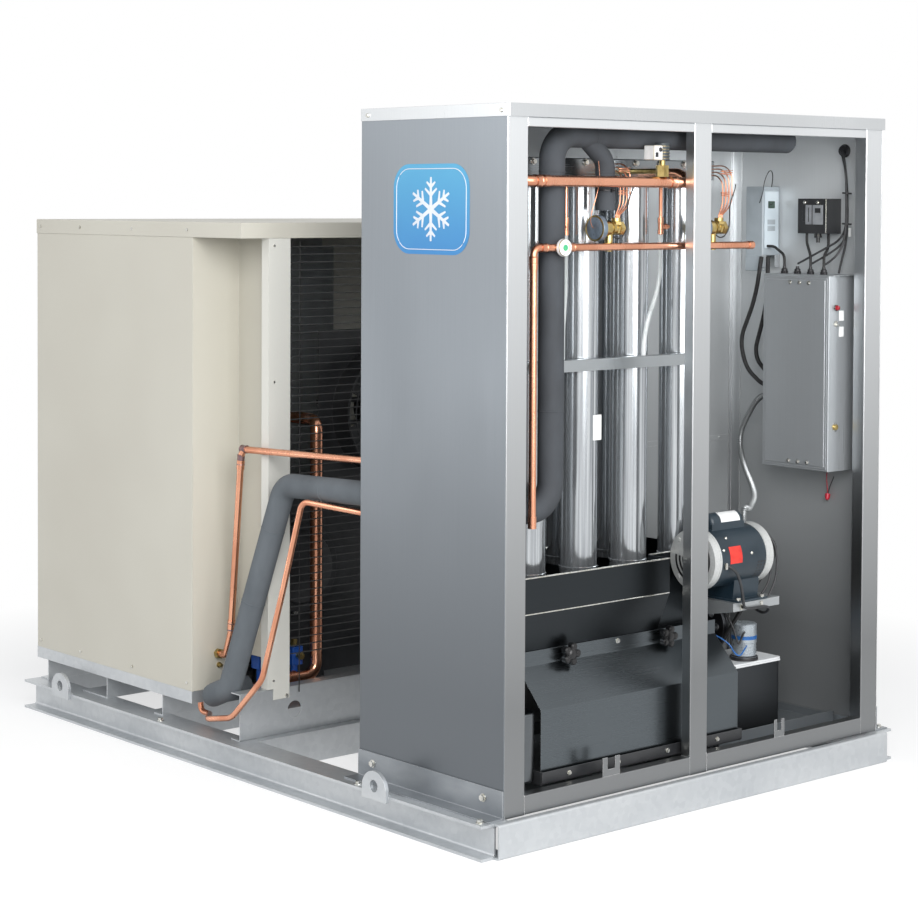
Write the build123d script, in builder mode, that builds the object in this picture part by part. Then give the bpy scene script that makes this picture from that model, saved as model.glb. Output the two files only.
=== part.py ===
from math import cos, pi, radians, sin, tan
import os

from build123d import *

# An ice machine on a steel skid: a stainless cabinet with freezing tubes and an ice cutter stands in front,
# and a painted condensing unit behind it. Millimetres, +Z up, origin under the middle of the skid.
# The open front of the cabinet faces -Y.

os.makedirs("parts", exist_ok=True)

# General
sheet = 2
bend_radius = 3
fit = 0.3
shaft_fit = 0.05

# Skid
skid_width = 1796
skid_length = 2488
beam_height = 100
beam_flange = 100
beam_web = 6
beam_flange_thickness = 8
beam_root_radius = 8
front_channel_depth = 21
cross_member_flange = 50
lug_width = 110
lug_rise = 66
lug_drop = 18
lug_thickness = 12
lug_hole = 36
front_lug_inset = 480
rear_lug_inset = 262

# Cabinet
cabinet_width = 1640
cabinet_depth = 644
cabinet_height = 1957
cabinet_offset = 13
cabinet_setback = 32
post_face = 80
post_depth = 45
mullion_face = 75
mullion_depth = 35
left_bay_width = 675
header_height = 27
header_depth = 28
sill_height = 55
sill_depth = 35
rear_angle_leg = 40
rear_angle_return = 16
panel_return = 20
lid_height = 37
lid_front_overhang = 11
lid_side_overhang = 2
lid_return = 14
floor_rim = 28
floor_rail_inset = 166
floor_rail_foot = 30
floor_rail_height = 40
hold_down_height = 80
hold_down_foot = 57
hold_down_thickness = 4

# Evaporator
tube_diameter = 114
tube_pitch = 213
tube_rows_apart = 180
first_tube_inset = 328
tube_row_inset = 267
tube_bottom = 700
tube_length = 1190
distributor_height = 60
distributor_margin = 22
cross_bar_height = 1318
cross_bar_face = 35
cross_bar_depth = 22

# Insulated suction pipework in the cabinet
insulation_diameter = 76
branch_insulation = 58
suction_axis_inset = 112
header_axis_height = 2016
riser_inset = 277
header_right_inset = 1300
riser_exit_height = 936
branch_inset = 492
branch_bottom = 1796

# Copper pipework in the cabinet
hot_gas_pipe = 32
hot_gas_height = 1880
hot_gas_axis_inset = 56
hot_gas_left_inset = 118
hot_gas_right_inset = 812
liquid_pipe = 22
liquid_height = 1690
liquid_axis_inset = 62
liquid_leg_inset = 160
liquid_leg_bottom = 893
liquid_right_inset = 1085
sight_glass_inset = 262
valve_insets = (488, 934)
valve_axis_inset = 92
valve_height = 1744

# Ice hopper and cutter
hopper_left_inset = 157
hopper_right_inset = 1042
hopper_step_inset = 788
hopper_top = 738
hopper_fold = 633
hopper_throat = 513
hopper_skirt = 470
hopper_front_inset = 120
hopper_throat_inset = 170
hopper_rear_inset = 522
hopper_rear_throat_inset = 472
hood_left_inset = 207
hood_right_inset = 1045
hood_front_inset = 70
hood_fold = 363
hood_bottom = 172
knob_insets = (394, 809)
knob_height = 492
knob_radius = 34
cutter_height = 448
cutter_radius = 96
cutter_shaft = 40
cutter_core = 90
cutter_blades = 18
blade_thickness = 16
blade_width = 34
bearing_diameter = 58
bearing_length = 44
end_plate = 6
drive_plane_inset = 1219
drive_width = 20
cutter_pulley_radius = 78
motor_pulley_radius = 35
belt_width = 13
belt_thickness = 8

# Motor and its shelf
motor_height = 725
motor_axis_inset = 110
motor_radius = 92
bell_radius = 94
motor_left_inset = 878
bell_length = 25
motor_body_length = 218
motor_shaft = 22
capacitor_radius = 30
shelf_top = 589
shelf_left_inset = 977
shelf_width = 213
shelf_front_inset = 30
shelf_flange = 26
motor_foot_width = 164
motor_foot_length = 134

# Water side
can_radius = 55
can_height = 200
can_bottom = 165
can_inset = 145
can_depth_inset = 112
tank_left_inset = 1177
tank_width = 217
tank_depth = 182
tank_front_inset = 200
tank_top = 340
tank_wall = 4
tank_lid_thickness = 6
pump_radius = 40
pump_inset = 1271
pump_depth_inset = 247

# Controls on the right wall
enclosure_depth = 156
enclosure_width = 279
enclosure_height = 634
enclosure_bottom = 951
enclosure_front_inset = 83
lamp_drop = 103
toggle_drop = 155
button_rise = 144
control_inset = 122
toggle_length = 16
toggle_travel = 16
toggle_pivot = 3.4
toggle_pivot_length = 4
toggle_bore = 4.3
button_radius = 9
controller_depth = 88
controller_width = 75
controller_height = 230
controller_bottom = 1645
controller_front_inset = 428
pressure_depth = 78
pressure_width = 120
pressure_height = 115
pressure_bottom = 1720
pressure_front_inset = 165
control_cable = 14
conduit_diameter = 20

# Condensing unit
unit_width = 1690
unit_length = 1250
unit_front_gap = 561
unit_foot_height = 75
unit_rail_height = 40
unit_panel_top = 1700
unit_lid_height = 50
unit_front_rail = 150
unit_front_rail_depth = 48
recess_width = 185
recess_depth = 270
recess_opening = 110
unit_post_width = 86
base_hole = 55
base_hole_inset = 216
guard_wire = 4
guard_pitch = 25.3
guard_wires = 53
guard_bottom = 357
compressor_radius = 150
receiver_radius = 120
coil_thickness = 90
fan_radius = 215
fan_height = 1080
fan_blades = 5
compressor_pipe = 41
valve_stem = 12

# Pipes between the two assemblies
suction_line_inset = 60
suction_stub = 28
stub_height = 214
copper_line = 22
hot_gas_line = 19

# Places worked out from the sizes above
skid_front = -skid_length / 2
skid_back = skid_length / 2
beam_front = skid_front + front_channel_depth
beam_axis = (skid_width - beam_flange) / 2
deck = beam_height
cab_left = cabinet_offset - cabinet_width / 2
cab_right = cabinet_offset + cabinet_width / 2
cab_front = skid_front + cabinet_setback
cab_back = cab_front + cabinet_depth
cab_top = deck + cabinet_height
inner_left = cab_left + sheet
inner_right = cab_right - sheet
inner_back = cab_back - sheet - fit - sheet
mullion_left = cab_left + post_face + left_bay_width
mullion_right = mullion_left + mullion_face
first_tube_x = cab_left + first_tube_inset
front_row_y = cab_front + tube_row_inset
rear_row_y = front_row_y + tube_rows_apart
tube_top = tube_bottom + tube_length
suction_y = cab_front + suction_axis_inset
hopper_left = cab_left + hopper_left_inset
hopper_right = cab_left + hopper_right_inset
hopper_step = cab_left + hopper_step_inset
crusher_left = cab_left + hood_left_inset
crusher_right = cab_left + hood_right_inset
hopper_front = cab_front + hopper_front_inset
hopper_rear = cab_front + hopper_rear_inset
throat_front = cab_front + hopper_throat_inset
throat_rear = cab_front + hopper_rear_throat_inset
step_front = front_row_y - tube_diameter / 2 - fit - sheet
cutter_y = (front_row_y + rear_row_y) / 2
drive_x = cab_left + drive_plane_inset
motor_y = cab_front + motor_axis_inset
motor_left = cab_left + motor_left_inset
motor_right = motor_left + 2 * bell_length + motor_body_length
enclosure_left = inner_right - fit - enclosure_depth
enclosure_front = cab_front + enclosure_front_inset
enclosure_back = enclosure_front + enclosure_width
enclosure_top = enclosure_bottom + enclosure_height
control_x = enclosure_left + enclosure_depth - control_inset
controller_front = cab_front + controller_front_inset
floor_top = deck + sheet
unit_left = -unit_width / 2
unit_right = unit_width / 2
unit_front = cab_back + unit_front_gap
unit_back = unit_front + unit_length
pan_bottom = deck + unit_foot_height
pan_top = pan_bottom + sheet
panel_bottom = pan_bottom + unit_rail_height
recess_right = unit_left + recess_width
recess_back = unit_front + recess_depth
fan_x = 60
fan_y = unit_front + 330
suction_line_x = cab_left + suction_line_inset


# Shared ways of making a piece


def front_plane(y):
    """A plane across the machine: local x is X, local y is Z, its normal points to the front."""
    return Plane(origin=(0, y, 0), x_dir=(1, 0, 0), z_dir=(0, -1, 0))


def side_plane(x):
    """A plane along the machine: local x is Y, local y is Z, its normal points to +X."""
    return Plane(origin=(x, 0, 0), x_dir=(0, 1, 0), z_dir=(1, 0, 0))


def level(z):
    """A horizontal plane at a height."""
    return Plane.XY.offset(z)


def fold(plane, points, length, thickness=sheet, radius=bend_radius):
    """A folded sheet: an open outline, thickened on its left, drawn out along the plane's normal."""
    with BuildSketch(plane) as profile:
        with BuildLine():
            FilletPolyline(*points, radius=radius)
            offset(amount=thickness, side=Side.LEFT)
        make_face()
    extrude(profile.sketch, amount=length)


def panel(plane, corners, thickness, mode=Mode.ADD):
    """A flat plate from its straight-sided outline."""
    with BuildSketch(plane) as outline:
        with BuildLine():
            Polyline(*corners, close=True)
        make_face()
    extrude(outline.sketch, amount=thickness, mode=mode)


def block(low, high, mode=Mode.ADD):
    """A rectangular solid between two corners."""
    centre = [(a + b) / 2 for a, b in zip(low, high)]
    sizes = [b - a for a, b in zip(low, high)]
    with Locations(tuple(centre)):
        Box(*sizes, mode=mode)


def rod(start, end, radius, mode=Mode.ADD):
    """A round bar from one point to another."""
    axis = Vector(*end) - Vector(*start)
    with BuildSketch(Plane(origin=start, z_dir=axis)) as section:
        Circle(radius)
    extrude(section.sketch, amount=axis.length, mode=mode)


def hex_bolt(start, direction, across_flats=16, height=7):
    """A hexagon head on its washer, standing on a surface."""
    seat = Plane(origin=start, z_dir=direction)
    with BuildSketch(seat) as washer:
        Circle(across_flats * 0.72)
    extrude(washer.sketch, amount=2)
    with BuildSketch(seat) as head:
        RegularPolygon(across_flats / 2, 6, major_radius=False)
    extrude(head.sketch, amount=2 + height)


def corner_radii(points, share=0.45, largest=1000):
    """The bend at each inner point of a route, as large as its shorter run allows."""
    radii = []
    for before, here, after in zip(points, points[1:], points[2:]):
        run_in = Vector(*here) - Vector(*before)
        run_out = Vector(*after) - Vector(*here)
        half_turn = radians(run_in.get_angle(run_out)) / 2
        radii.append(min(largest, share * min(run_in.length, run_out.length) / tan(half_turn)))
    return radii


def pipe(points, diameter, bends=None):
    """A round pipe, rod or cable along straight runs joined by arcs."""
    with BuildLine() as route:
        if len(points) > 2:
            FilletPolyline(*points, radius=bends if bends else corner_radii(points))
        else:
            Line(*points)
    with BuildSketch(Plane(origin=route.line @ 0, z_dir=route.line % 0)) as section:
        Circle(diameter / 2)
    sweep(section.sketch, path=route.line)


def write(part, name):
    """Label one node and write it."""
    part.label = name
    export_step(part, f"parts/{name}.step")


# Skid


def lifting_lug(outer_x, centre_y, outward):
    """A plate with a round eye, welded to the edge of a beam's top flange."""
    bottom = deck - lug_drop
    eye_height = deck + lug_rise - lug_width / 2 + 8
    with BuildSketch(side_plane(outer_x)) as plate:
        with BuildLine():
            Polyline(
                (centre_y - lug_width / 2, eye_height),
                (centre_y - lug_width / 2, bottom),
                (centre_y + lug_width / 2, bottom),
                (centre_y + lug_width / 2, eye_height),
            )
            ThreePointArc(
                (centre_y + lug_width / 2, eye_height),
                (centre_y, deck + lug_rise),
                (centre_y - lug_width / 2, eye_height),
            )
        make_face()
        with Locations((centre_y, deck + lug_rise / 3)):
            Circle(lug_hole / 2, mode=Mode.SUBTRACT)
    extrude(plate.sketch, amount=outward * lug_thickness)


def skid_beam(side_sign):
    """A rolled wide-flange beam along one side, with its two lugs."""
    axis = side_sign * beam_axis
    half_web = beam_web / 2
    half_flange = beam_flange / 2
    top_root = beam_height - beam_flange_thickness
    with BuildPart() as beam:
        with BuildSketch(front_plane(beam_front)) as section:
            with BuildLine():
                Polyline(
                    (axis - half_flange, 0),
                    (axis + half_flange, 0),
                    (axis + half_flange, beam_flange_thickness),
                    (axis + half_web, beam_flange_thickness),
                    (axis + half_web, top_root),
                    (axis + half_flange, top_root),
                    (axis + half_flange, beam_height),
                    (axis - half_flange, beam_height),
                    (axis - half_flange, top_root),
                    (axis - half_web, top_root),
                    (axis - half_web, beam_flange_thickness),
                    (axis - half_flange, beam_flange_thickness),
                    close=True,
                )
            make_face()
            roots = section.vertices().filter_by(lambda v: abs(v.X - axis) < beam_web)
            fillet(roots, radius=beam_root_radius)
        extrude(amount=-(skid_back - beam_front))
        edge = axis + side_sign * half_flange
        for lug_y in (skid_front + front_lug_inset, skid_back - rear_lug_inset):
            lifting_lug(edge, lug_y, side_sign)
    return beam.part


write(skid_beam(-1), "skid_beam_left")
write(skid_beam(1), "skid_beam_right")

def front_channel():
    """A channel that closes the front of the skid, its flanges welded to the beam ends."""
    half_span = beam_axis + beam_web / 2
    outline = (
        (beam_front, beam_height),
        (skid_front, beam_height),
        (skid_front, 0),
        (beam_front, 0),
    )
    fold(side_plane(-half_span), outline, 2 * half_span, beam_web, beam_root_radius)


def cross_member(y):
    """A rolled channel between the beams, its web to the front, coped to reach the beam webs."""
    inner = beam_axis - beam_flange / 2
    with BuildSketch(side_plane(-inner)) as section:
        with BuildLine():
            Polyline(
                (y, 0),
                (y + cross_member_flange, 0),
                (y + cross_member_flange, beam_flange_thickness - 2),
                (y + beam_web, beam_flange_thickness),
                (y + beam_web, beam_height - beam_flange_thickness),
                (y + cross_member_flange, beam_height - beam_flange_thickness + 2),
                (y + cross_member_flange, beam_height),
                (y, beam_height),
                close=True,
            )
        make_face()
    extrude(section.sketch, amount=2 * inner)
    reach = beam_axis - beam_web / 2
    root = beam_flange_thickness + beam_root_radius
    block((-reach, y, root), (reach, y + beam_web, beam_height - root))


cross_member_places = (
    cab_front + 300,
    cab_back - 32,
    unit_front - 35,
    unit_front + 507,
    skid_back - cross_member_flange - 4,
)
with BuildPart() as skid_cross_members:
    front_channel()
    for member_y in cross_member_places:
        cross_member(member_y)
write(skid_cross_members.part, "skid_cross_members")


# Cabinet frame, panels and lid


def channel_post(left, right, depth):
    """A folded upright, open to the rear."""
    outline = (
        (left, cab_front + depth),
        (left, cab_front),
        (right, cab_front),
        (right, cab_front + depth),
    )
    fold(level(deck), outline, cabinet_height)


def channel_rail(left, right, bottom, top, depth):
    """A folded cross rail of the front frame, open to the rear."""
    outline = (
        (cab_front + depth, top),
        (cab_front, top),
        (cab_front, bottom),
        (cab_front + depth, bottom),
    )
    fold(side_plane(left), outline, right - left)


with BuildPart() as cabinet_frame:
    post_left_face = cab_left + post_face
    post_right_face = cab_right - post_face
    channel_post(inner_left + fit, post_left_face, post_depth)
    channel_post(mullion_left, mullion_right, mullion_depth)
    channel_post(post_right_face, inner_right - fit, post_depth)
    for bay_left, bay_right in ((post_left_face, mullion_left), (mullion_right, post_right_face)):
        channel_rail(bay_left, bay_right, cab_top - header_height, cab_top, header_depth)
        channel_rail(bay_left, bay_right, deck, deck + sill_height, sill_depth)
    rear_face = inner_back - fit
    fold(
        level(deck),
        (
            (inner_left + fit + rear_angle_return, rear_face),
            (inner_left + fit, rear_face),
            (inner_left + fit, rear_face - rear_angle_leg),
        ),
        cabinet_height,
    )
    fold(
        level(deck),
        (
            (inner_right - fit, rear_face - rear_angle_leg),
            (inner_right - fit, rear_face),
            (inner_right - fit - rear_angle_return, rear_face),
        ),
        cabinet_height,
    )
    for clip_x, clip_width in ((-382, 70), (357, 47)):
        with BuildSketch(front_plane(cab_front + 2 * sheet)):
            with Locations((clip_x, deck + sill_height)):
                Rectangle(clip_width, 110)
                with Locations((0, 38)):
                    Rectangle(clip_width * 0.45, 36, mode=Mode.SUBTRACT)
        extrude(amount=sheet)
write(cabinet_frame.part, "cabinet_frame")

with BuildPart() as left_panel:
    fold(
        level(deck),
        (
            (cab_left + panel_return, cab_back),
            (cab_left, cab_back),
            (cab_left, cab_front),
        ),
        cabinet_height,
    )
write(left_panel.part, "left_panel")

with BuildPart() as right_panel:
    fold(
        level(deck),
        (
            (cab_right, cab_front),
            (cab_right, cab_back),
            (cab_right - panel_return, cab_back),
        ),
        cabinet_height,
    )
write(right_panel.part, "right_panel")

liquid_exit_height = riser_exit_height + 100
hot_gas_exit_height = riser_exit_height - 60
with BuildPart() as back_panel:
    with BuildSketch(front_plane(cab_back - sheet - fit)):
        with BuildLine():
            Polyline(
                (inner_left + fit, deck),
                (inner_right - fit, deck),
                (inner_right - fit, cab_top),
                (inner_left + fit, cab_top),
                close=True,
            )
        make_face()
        with Locations((suction_line_x, riser_exit_height)):
            Circle(insulation_diameter / 2 + fit, mode=Mode.SUBTRACT)
        with Locations((suction_line_x, liquid_exit_height)):
            Circle(copper_line / 2 + fit, mode=Mode.SUBTRACT)
        with Locations((suction_line_x, hot_gas_exit_height)):
            Circle(hot_gas_line / 2 + fit, mode=Mode.SUBTRACT)
    extrude(amount=sheet)
write(back_panel.part, "back_panel")

with BuildPart() as cabinet_lid:
    lid_left = cab_left - lid_side_overhang
    lid_right = cab_right + lid_side_overhang
    lid_front = cab_front - lid_front_overhang
    lid_back = cab_back + lid_side_overhang
    block((lid_left, lid_front, cab_top), (lid_right, lid_back, cab_top + lid_height))
    fillet(cabinet_lid.edges().filter_by(Axis.Z), radius=bend_radius)
    fillet(cabinet_lid.faces().sort_by(Axis.Z)[-1].edges(), radius=bend_radius - 1)
    block(
        (lid_left + sheet, lid_front + sheet, cab_top),
        (lid_right - sheet, lid_back - sheet, cab_top + lid_height - sheet),
        mode=Mode.SUBTRACT,
    )
    with BuildSketch(level(cab_top)):
        with Locations(((lid_left + lid_right) / 2, (lid_front + lid_back) / 2)):
            width = lid_right - lid_left - sheet
            depth = lid_back - lid_front - sheet
            Rectangle(width, depth)
            Rectangle(width - 2 * lid_return, depth - 2 * lid_return, mode=Mode.SUBTRACT)
    extrude(amount=sheet)
write(cabinet_lid.part, "cabinet_lid")

with BuildPart() as floor_pan:
    pan_clear = 5
    pan_front = cab_front + post_depth + pan_clear
    pan_back = rear_face - rear_angle_leg - pan_clear
    pan_left = inner_left + pan_clear
    pan_right = inner_right - pan_clear
    block((pan_left, pan_front, deck), (pan_right, pan_back, deck + floor_rim))
    block(
        (pan_left + sheet, pan_front + sheet, deck + sheet),
        (pan_right - sheet, pan_back - sheet, deck + floor_rim),
        mode=Mode.SUBTRACT,
    )
    rail_front = cab_front + floor_rail_inset
    fold(
        side_plane(crusher_right + 20),
        (
            (rail_front + floor_rail_foot, floor_top),
            (rail_front, floor_top),
            (rail_front, floor_top + floor_rail_height),
        ),
        pan_right - crusher_right - 30,
    )
write(floor_pan.part, "floor_pan")

with BuildPart() as hold_down_angles:
    left_face = cab_left - fit
    right_face = cab_right + fit
    fold(
        front_plane(cab_back),
        (
            (left_face - hold_down_foot, deck),
            (left_face, deck),
            (left_face, deck + hold_down_height),
        ),
        cabinet_depth,
        hold_down_thickness,
        hold_down_thickness + 2,
    )
    fold(
        front_plane(cab_back),
        (
            (right_face, deck + hold_down_height),
            (right_face, deck),
            (right_face + hold_down_foot, deck),
        ),
        cabinet_depth,
        hold_down_thickness,
        hold_down_thickness + 2,
    )
write(hold_down_angles.part, "hold_down_angles")


# Evaporator

front_tube_places = [(first_tube_x + i * tube_pitch, front_row_y) for i in range(4)]
rear_tube_places = [(x - tube_pitch / 2, rear_row_y) for x, y in front_tube_places]

with BuildPart() as evaporator_tubes:
    with BuildSketch(level(tube_bottom)):
        with Locations(*front_tube_places, *rear_tube_places):
            Circle(tube_diameter / 2)
    extrude(amount=tube_length)
write(evaporator_tubes.part, "evaporator_tubes")

with BuildPart() as water_distributor:
    box_left = rear_tube_places[0][0] - tube_diameter / 2 - distributor_margin
    box_right = front_tube_places[-1][0] + tube_diameter / 2 + distributor_margin
    box_front = front_row_y - tube_diameter / 2 - distributor_margin
    box_back = rear_row_y + tube_diameter / 2 + distributor_margin
    block((box_left, box_front, tube_top), (box_right, box_back, tube_top + distributor_height))
    fillet(water_distributor.edges().filter_by(Axis.Z), radius=bend_radius)
    fillet(water_distributor.faces().sort_by(Axis.Z)[-1].edges(), radius=bend_radius)
write(water_distributor.part, "water_distributor")

with BuildPart() as tube_cross_bar:
    bar_back = front_row_y - tube_diameter / 2 - fit
    bar_left = first_tube_x - 96
    bar_right = front_tube_places[-1][0] + 10
    fold(
        side_plane(bar_left),
        (
            (bar_back, cross_bar_height + cross_bar_face),
            (bar_back - cross_bar_depth, cross_bar_height + cross_bar_face),
            (bar_back - cross_bar_depth, cross_bar_height),
        ),
        bar_right - bar_left,
    )
write(tube_cross_bar.part, "tube_cross_bar")


# Insulated suction pipework: the header runs under the lid and turns down into the riser

with BuildPart() as suction_header:
    riser_x = cab_left + riser_inset
    header_right = cab_left + header_right_inset
    bend = insulation_diameter
    pipe(
        (
            (header_right, suction_y, header_axis_height),
            (riser_x, suction_y, header_axis_height),
            (riser_x, suction_y, riser_exit_height),
            (suction_line_x, suction_y, riser_exit_height),
            (suction_line_x, inner_back - 2 * fit, riser_exit_height),
        ),
        insulation_diameter,
        bend,
    )
    rod(
        (header_right, suction_y, header_axis_height),
        (header_right + 8, suction_y, header_axis_height),
        insulation_diameter / 2 - 5,
    )
    branch_x = cab_left + branch_inset
    pipe(
        (
            (branch_x - 90, suction_y, header_axis_height),
            (branch_x, suction_y, header_axis_height - 75),
            (branch_x, suction_y, branch_bottom),
        ),
        branch_insulation,
        branch_insulation,
    )
write(suction_header.part, "suction_header")


# Copper manifolds and their fittings

hot_gas_y = cab_front + hot_gas_axis_inset
liquid_y = cab_front + liquid_axis_inset
nozzle_shift = 30
nozzle_rise = 30
valve_stub = 12

with BuildPart() as copper_manifolds:
    hot_gas_left = cab_left + hot_gas_left_inset
    hot_gas_right = cab_left + hot_gas_right_inset
    pipe(
        (
            (hot_gas_left, hot_gas_y + 90, hot_gas_height),
            (hot_gas_left, hot_gas_y, hot_gas_height),
            (hot_gas_right, hot_gas_y, hot_gas_height),
            (hot_gas_right, hot_gas_y + 66, hot_gas_height + 28),
            (hot_gas_right, box_front - fit, hot_gas_height + 28),
        ),
        hot_gas_pipe,
        [hot_gas_pipe, hot_gas_pipe, 40],
    )
    for collar_x in (hot_gas_left + 70, hot_gas_right - 30):
        rod(
            (collar_x, hot_gas_y, hot_gas_height),
            (collar_x + 24, hot_gas_y, hot_gas_height),
            hot_gas_pipe / 2 + 1.5,
        )

    leg_x = cab_left + liquid_leg_inset
    liquid_right = cab_left + liquid_right_inset
    pipe(
        (
            (leg_x, liquid_y, liquid_leg_bottom),
            (leg_x, liquid_y, liquid_height),
            (liquid_right, liquid_y, liquid_height),
        ),
        liquid_pipe,
        liquid_pipe,
    )
    collar_radius = liquid_pipe / 2 + 1.5
    for inset in valve_insets:
        link_x = cab_left + inset
        link_end = cab_front + valve_axis_inset - valve_stub - fit
        rod((link_x, liquid_y, liquid_height), (link_x, link_end, liquid_height), 8)
    rod((leg_x, liquid_y, liquid_height - 62), (leg_x, liquid_y, liquid_height - 26), collar_radius)
    rod((leg_x, liquid_y, liquid_leg_bottom), (leg_x, liquid_y, liquid_leg_bottom + 34), collar_radius)
    rod((liquid_right - 22, liquid_y, liquid_height), (liquid_right, liquid_y, liquid_height), collar_radius)
write(copper_manifolds.part, "copper_manifolds")

with BuildPart() as sight_glass:
    glass_x = cab_left + sight_glass_inset
    front_face = liquid_y - liquid_pipe / 2
    rod((glass_x, front_face - fit, liquid_height), (glass_x, front_face - 14, liquid_height), 25)
    fillet(sight_glass.faces().sort_by(Axis.Y)[0].edges(), radius=4)
    rod(
        (glass_x, front_face - 14, liquid_height),
        (glass_x, front_face - 11, liquid_height),
        16,
        mode=Mode.SUBTRACT,
    )
write(sight_glass.part, "sight_glass")


def expansion_valve(x):
    """A brass valve lying along X: round power head at the left, body, then the hexagon cap."""
    y = cab_front + valve_axis_inset
    rod((x - 58, y, valve_height), (x - 40, y, valve_height), 38)
    rod((x - 40, y, valve_height), (x + 34, y, valve_height), 17)
    rod((x - 26, y, valve_height), (x - 4, y, valve_height), 23)
    rod((x, y, valve_height), (x, y, liquid_height - 14), valve_stub)
    rod((x + nozzle_shift, y, valve_height), (x + nozzle_shift, y, valve_height + nozzle_rise), 14)
    with BuildSketch(side_plane(x + 34)) as cap:
        with Locations((y, valve_height)):
            RegularPolygon(19, 6, major_radius=False)
    extrude(cap.sketch, amount=16)
    rod((x + 50, y, valve_height), (x + 60, y, valve_height), 11)


with BuildPart() as expansion_valves:
    for inset in valve_insets:
        expansion_valve(cab_left + inset)
write(expansion_valves.part, "expansion_valves")


def hot_gas_solenoid(x):
    """A hexagon brass body under a ribbed coil, with its terminal plate at the left."""
    y = hot_gas_y
    foot = hot_gas_height + hot_gas_pipe / 2 + fit
    with BuildSketch(level(foot)) as body:
        with Locations((x, y)):
            RegularPolygon(17, 6, major_radius=False)
    extrude(body.sketch, amount=34)
    rod((x, y, foot + 34), (x, y, foot + 98), 9)
    for rib in range(5):
        rod((x, y, foot + 50 + rib * 9), (x, y, foot + 55 + rib * 9), 22)
    block((x - 56, y - 20, foot + 50), (x - 20, y + 20, foot + 92))
    rod((x, y, foot + 17), (x, box_front - fit, foot + 17), 8)


with BuildPart() as solenoid_valve:
    hot_gas_solenoid(cab_left + valve_insets[0] + 186)
write(solenoid_valve.part, "solenoid_valve")

with BuildPart() as distributor_tubes:
    for inset in valve_insets:
        nozzle_x = cab_left + inset + nozzle_shift
        strand_y = cab_front + valve_axis_inset - 6
        start_z = valve_height + nozzle_rise
        for strand in range(4):
            near_x = nozzle_x + (strand - 1.5) * 5
            far_x = nozzle_x + 10 + strand * 14
            turn_z = tube_top + 14 + strand * 10
            pipe(
                (
                    (near_x, strand_y, start_z + fit),
                    (near_x, strand_y, start_z + 8),
                    (far_x, strand_y, start_z + 42),
                    (far_x, strand_y, turn_z),
                    (far_x, box_front - fit, turn_z),
                ),
                4,
            )
write(distributor_tubes.part, "distributor_tubes")

with BuildPart() as water_hoses:
    hose_end = cross_bar_height + cross_bar_face + fit
    hose_y = bar_back - 10
    for hose_x, sway in ((first_tube_x + 89, -9), (first_tube_x + 2 * tube_pitch + 65, -70)):
        pipe(
            (
                (hose_x, hose_y, 1730),
                (hose_x, hose_y, 1560),
                (hose_x + sway, hose_y, 1440),
                (hose_x + sway, hose_y, hose_end),
            ),
            14,
            [300, 300],
        )
write(water_hoses.part, "water_hoses")


# Ice hopper, hood and cutter

with BuildPart() as ice_hopper:
    front_profile = (
        (hopper_front, hopper_top),
        (hopper_front, hopper_fold),
        (throat_front, hopper_throat),
        (throat_front, hopper_skirt),
    )
    step_profile = (
        (step_front, hopper_top),
        (step_front, hopper_throat),
        (step_front + 20, hopper_throat - 30),
    )
    rear_profile = (
        (throat_rear, hopper_skirt),
        (throat_rear, hopper_throat),
        (hopper_rear, hopper_fold),
        (hopper_rear, hopper_top),
    )
    fold(side_plane(hopper_left + sheet), front_profile, hopper_step - hopper_left - sheet)
    fold(side_plane(hopper_step), step_profile, hopper_right - hopper_step - sheet)
    fold(side_plane(hopper_left + sheet), rear_profile, hopper_right - hopper_left - 2 * sheet)
    end_outline = (
        (hopper_front, hopper_top),
        (hopper_front, hopper_fold),
        (throat_front, hopper_throat),
        (throat_rear, hopper_throat),
        (hopper_rear, hopper_fold),
        (hopper_rear, hopper_top),
    )
    panel(side_plane(hopper_left), end_outline, sheet)
    right_outline = ((step_front, hopper_top), (step_front, hopper_throat)) + end_outline[3:]
    panel(side_plane(hopper_right - sheet), right_outline, sheet)
    step_outline = (
        (hopper_front, hopper_top),
        (hopper_front, hopper_fold),
        (throat_front, hopper_throat),
        (step_front + sheet, hopper_throat),
        (step_front + sheet, hopper_top),
    )
    panel(side_plane(hopper_step - sheet), step_outline, sheet)
write(ice_hopper.part, "ice_hopper")

hood_back = throat_front - fit
knob_xs = [cab_left + inset for inset in knob_insets]
with BuildPart() as cutter_hood:
    fold(
        side_plane(cab_left + hood_left_inset),
        (
            (hood_back - sheet, hopper_throat),
            (hood_back - sheet, hopper_skirt),
            (cab_front + hood_front_inset, hood_fold),
            (cab_front + hood_front_inset, hood_bottom),
        ),
        crusher_right - cab_left - hood_left_inset,
    )
    with BuildSketch(front_plane(hood_back + sheet)):
        with Locations(*[(x, knob_height) for x in knob_xs]):
            Circle(6.5)
    extrude(amount=4 * sheet, mode=Mode.SUBTRACT)
write(cutter_hood.part, "cutter_hood")


def star_knob(x):
    """A five-lobed moulded knob on the stud that clamps the hood."""
    face = hood_back - sheet - fit
    stand_off = 16
    with BuildSketch(front_plane(face - stand_off)) as lobes:
        with Locations((x, knob_height)):
            Circle(knob_radius * 0.62)
            with PolarLocations(knob_radius * 0.66, 5):
                Circle(knob_radius * 0.34)
    extrude(lobes.sketch, amount=16)
    rod((x, face - stand_off, knob_height), (x, face - stand_off - 22, knob_height), 10)
    rod((x, throat_front - fit, knob_height), (x, face - stand_off, knob_height), 5)
    rod((x, face, knob_height), (x, face - stand_off, knob_height), 11)


for knob_name, knob_x in zip(("hood_knob_left", "hood_knob_right"), knob_xs):
    with BuildPart() as hood_knob:
        star_knob(knob_x)
    write(hood_knob.part, knob_name)

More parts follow.
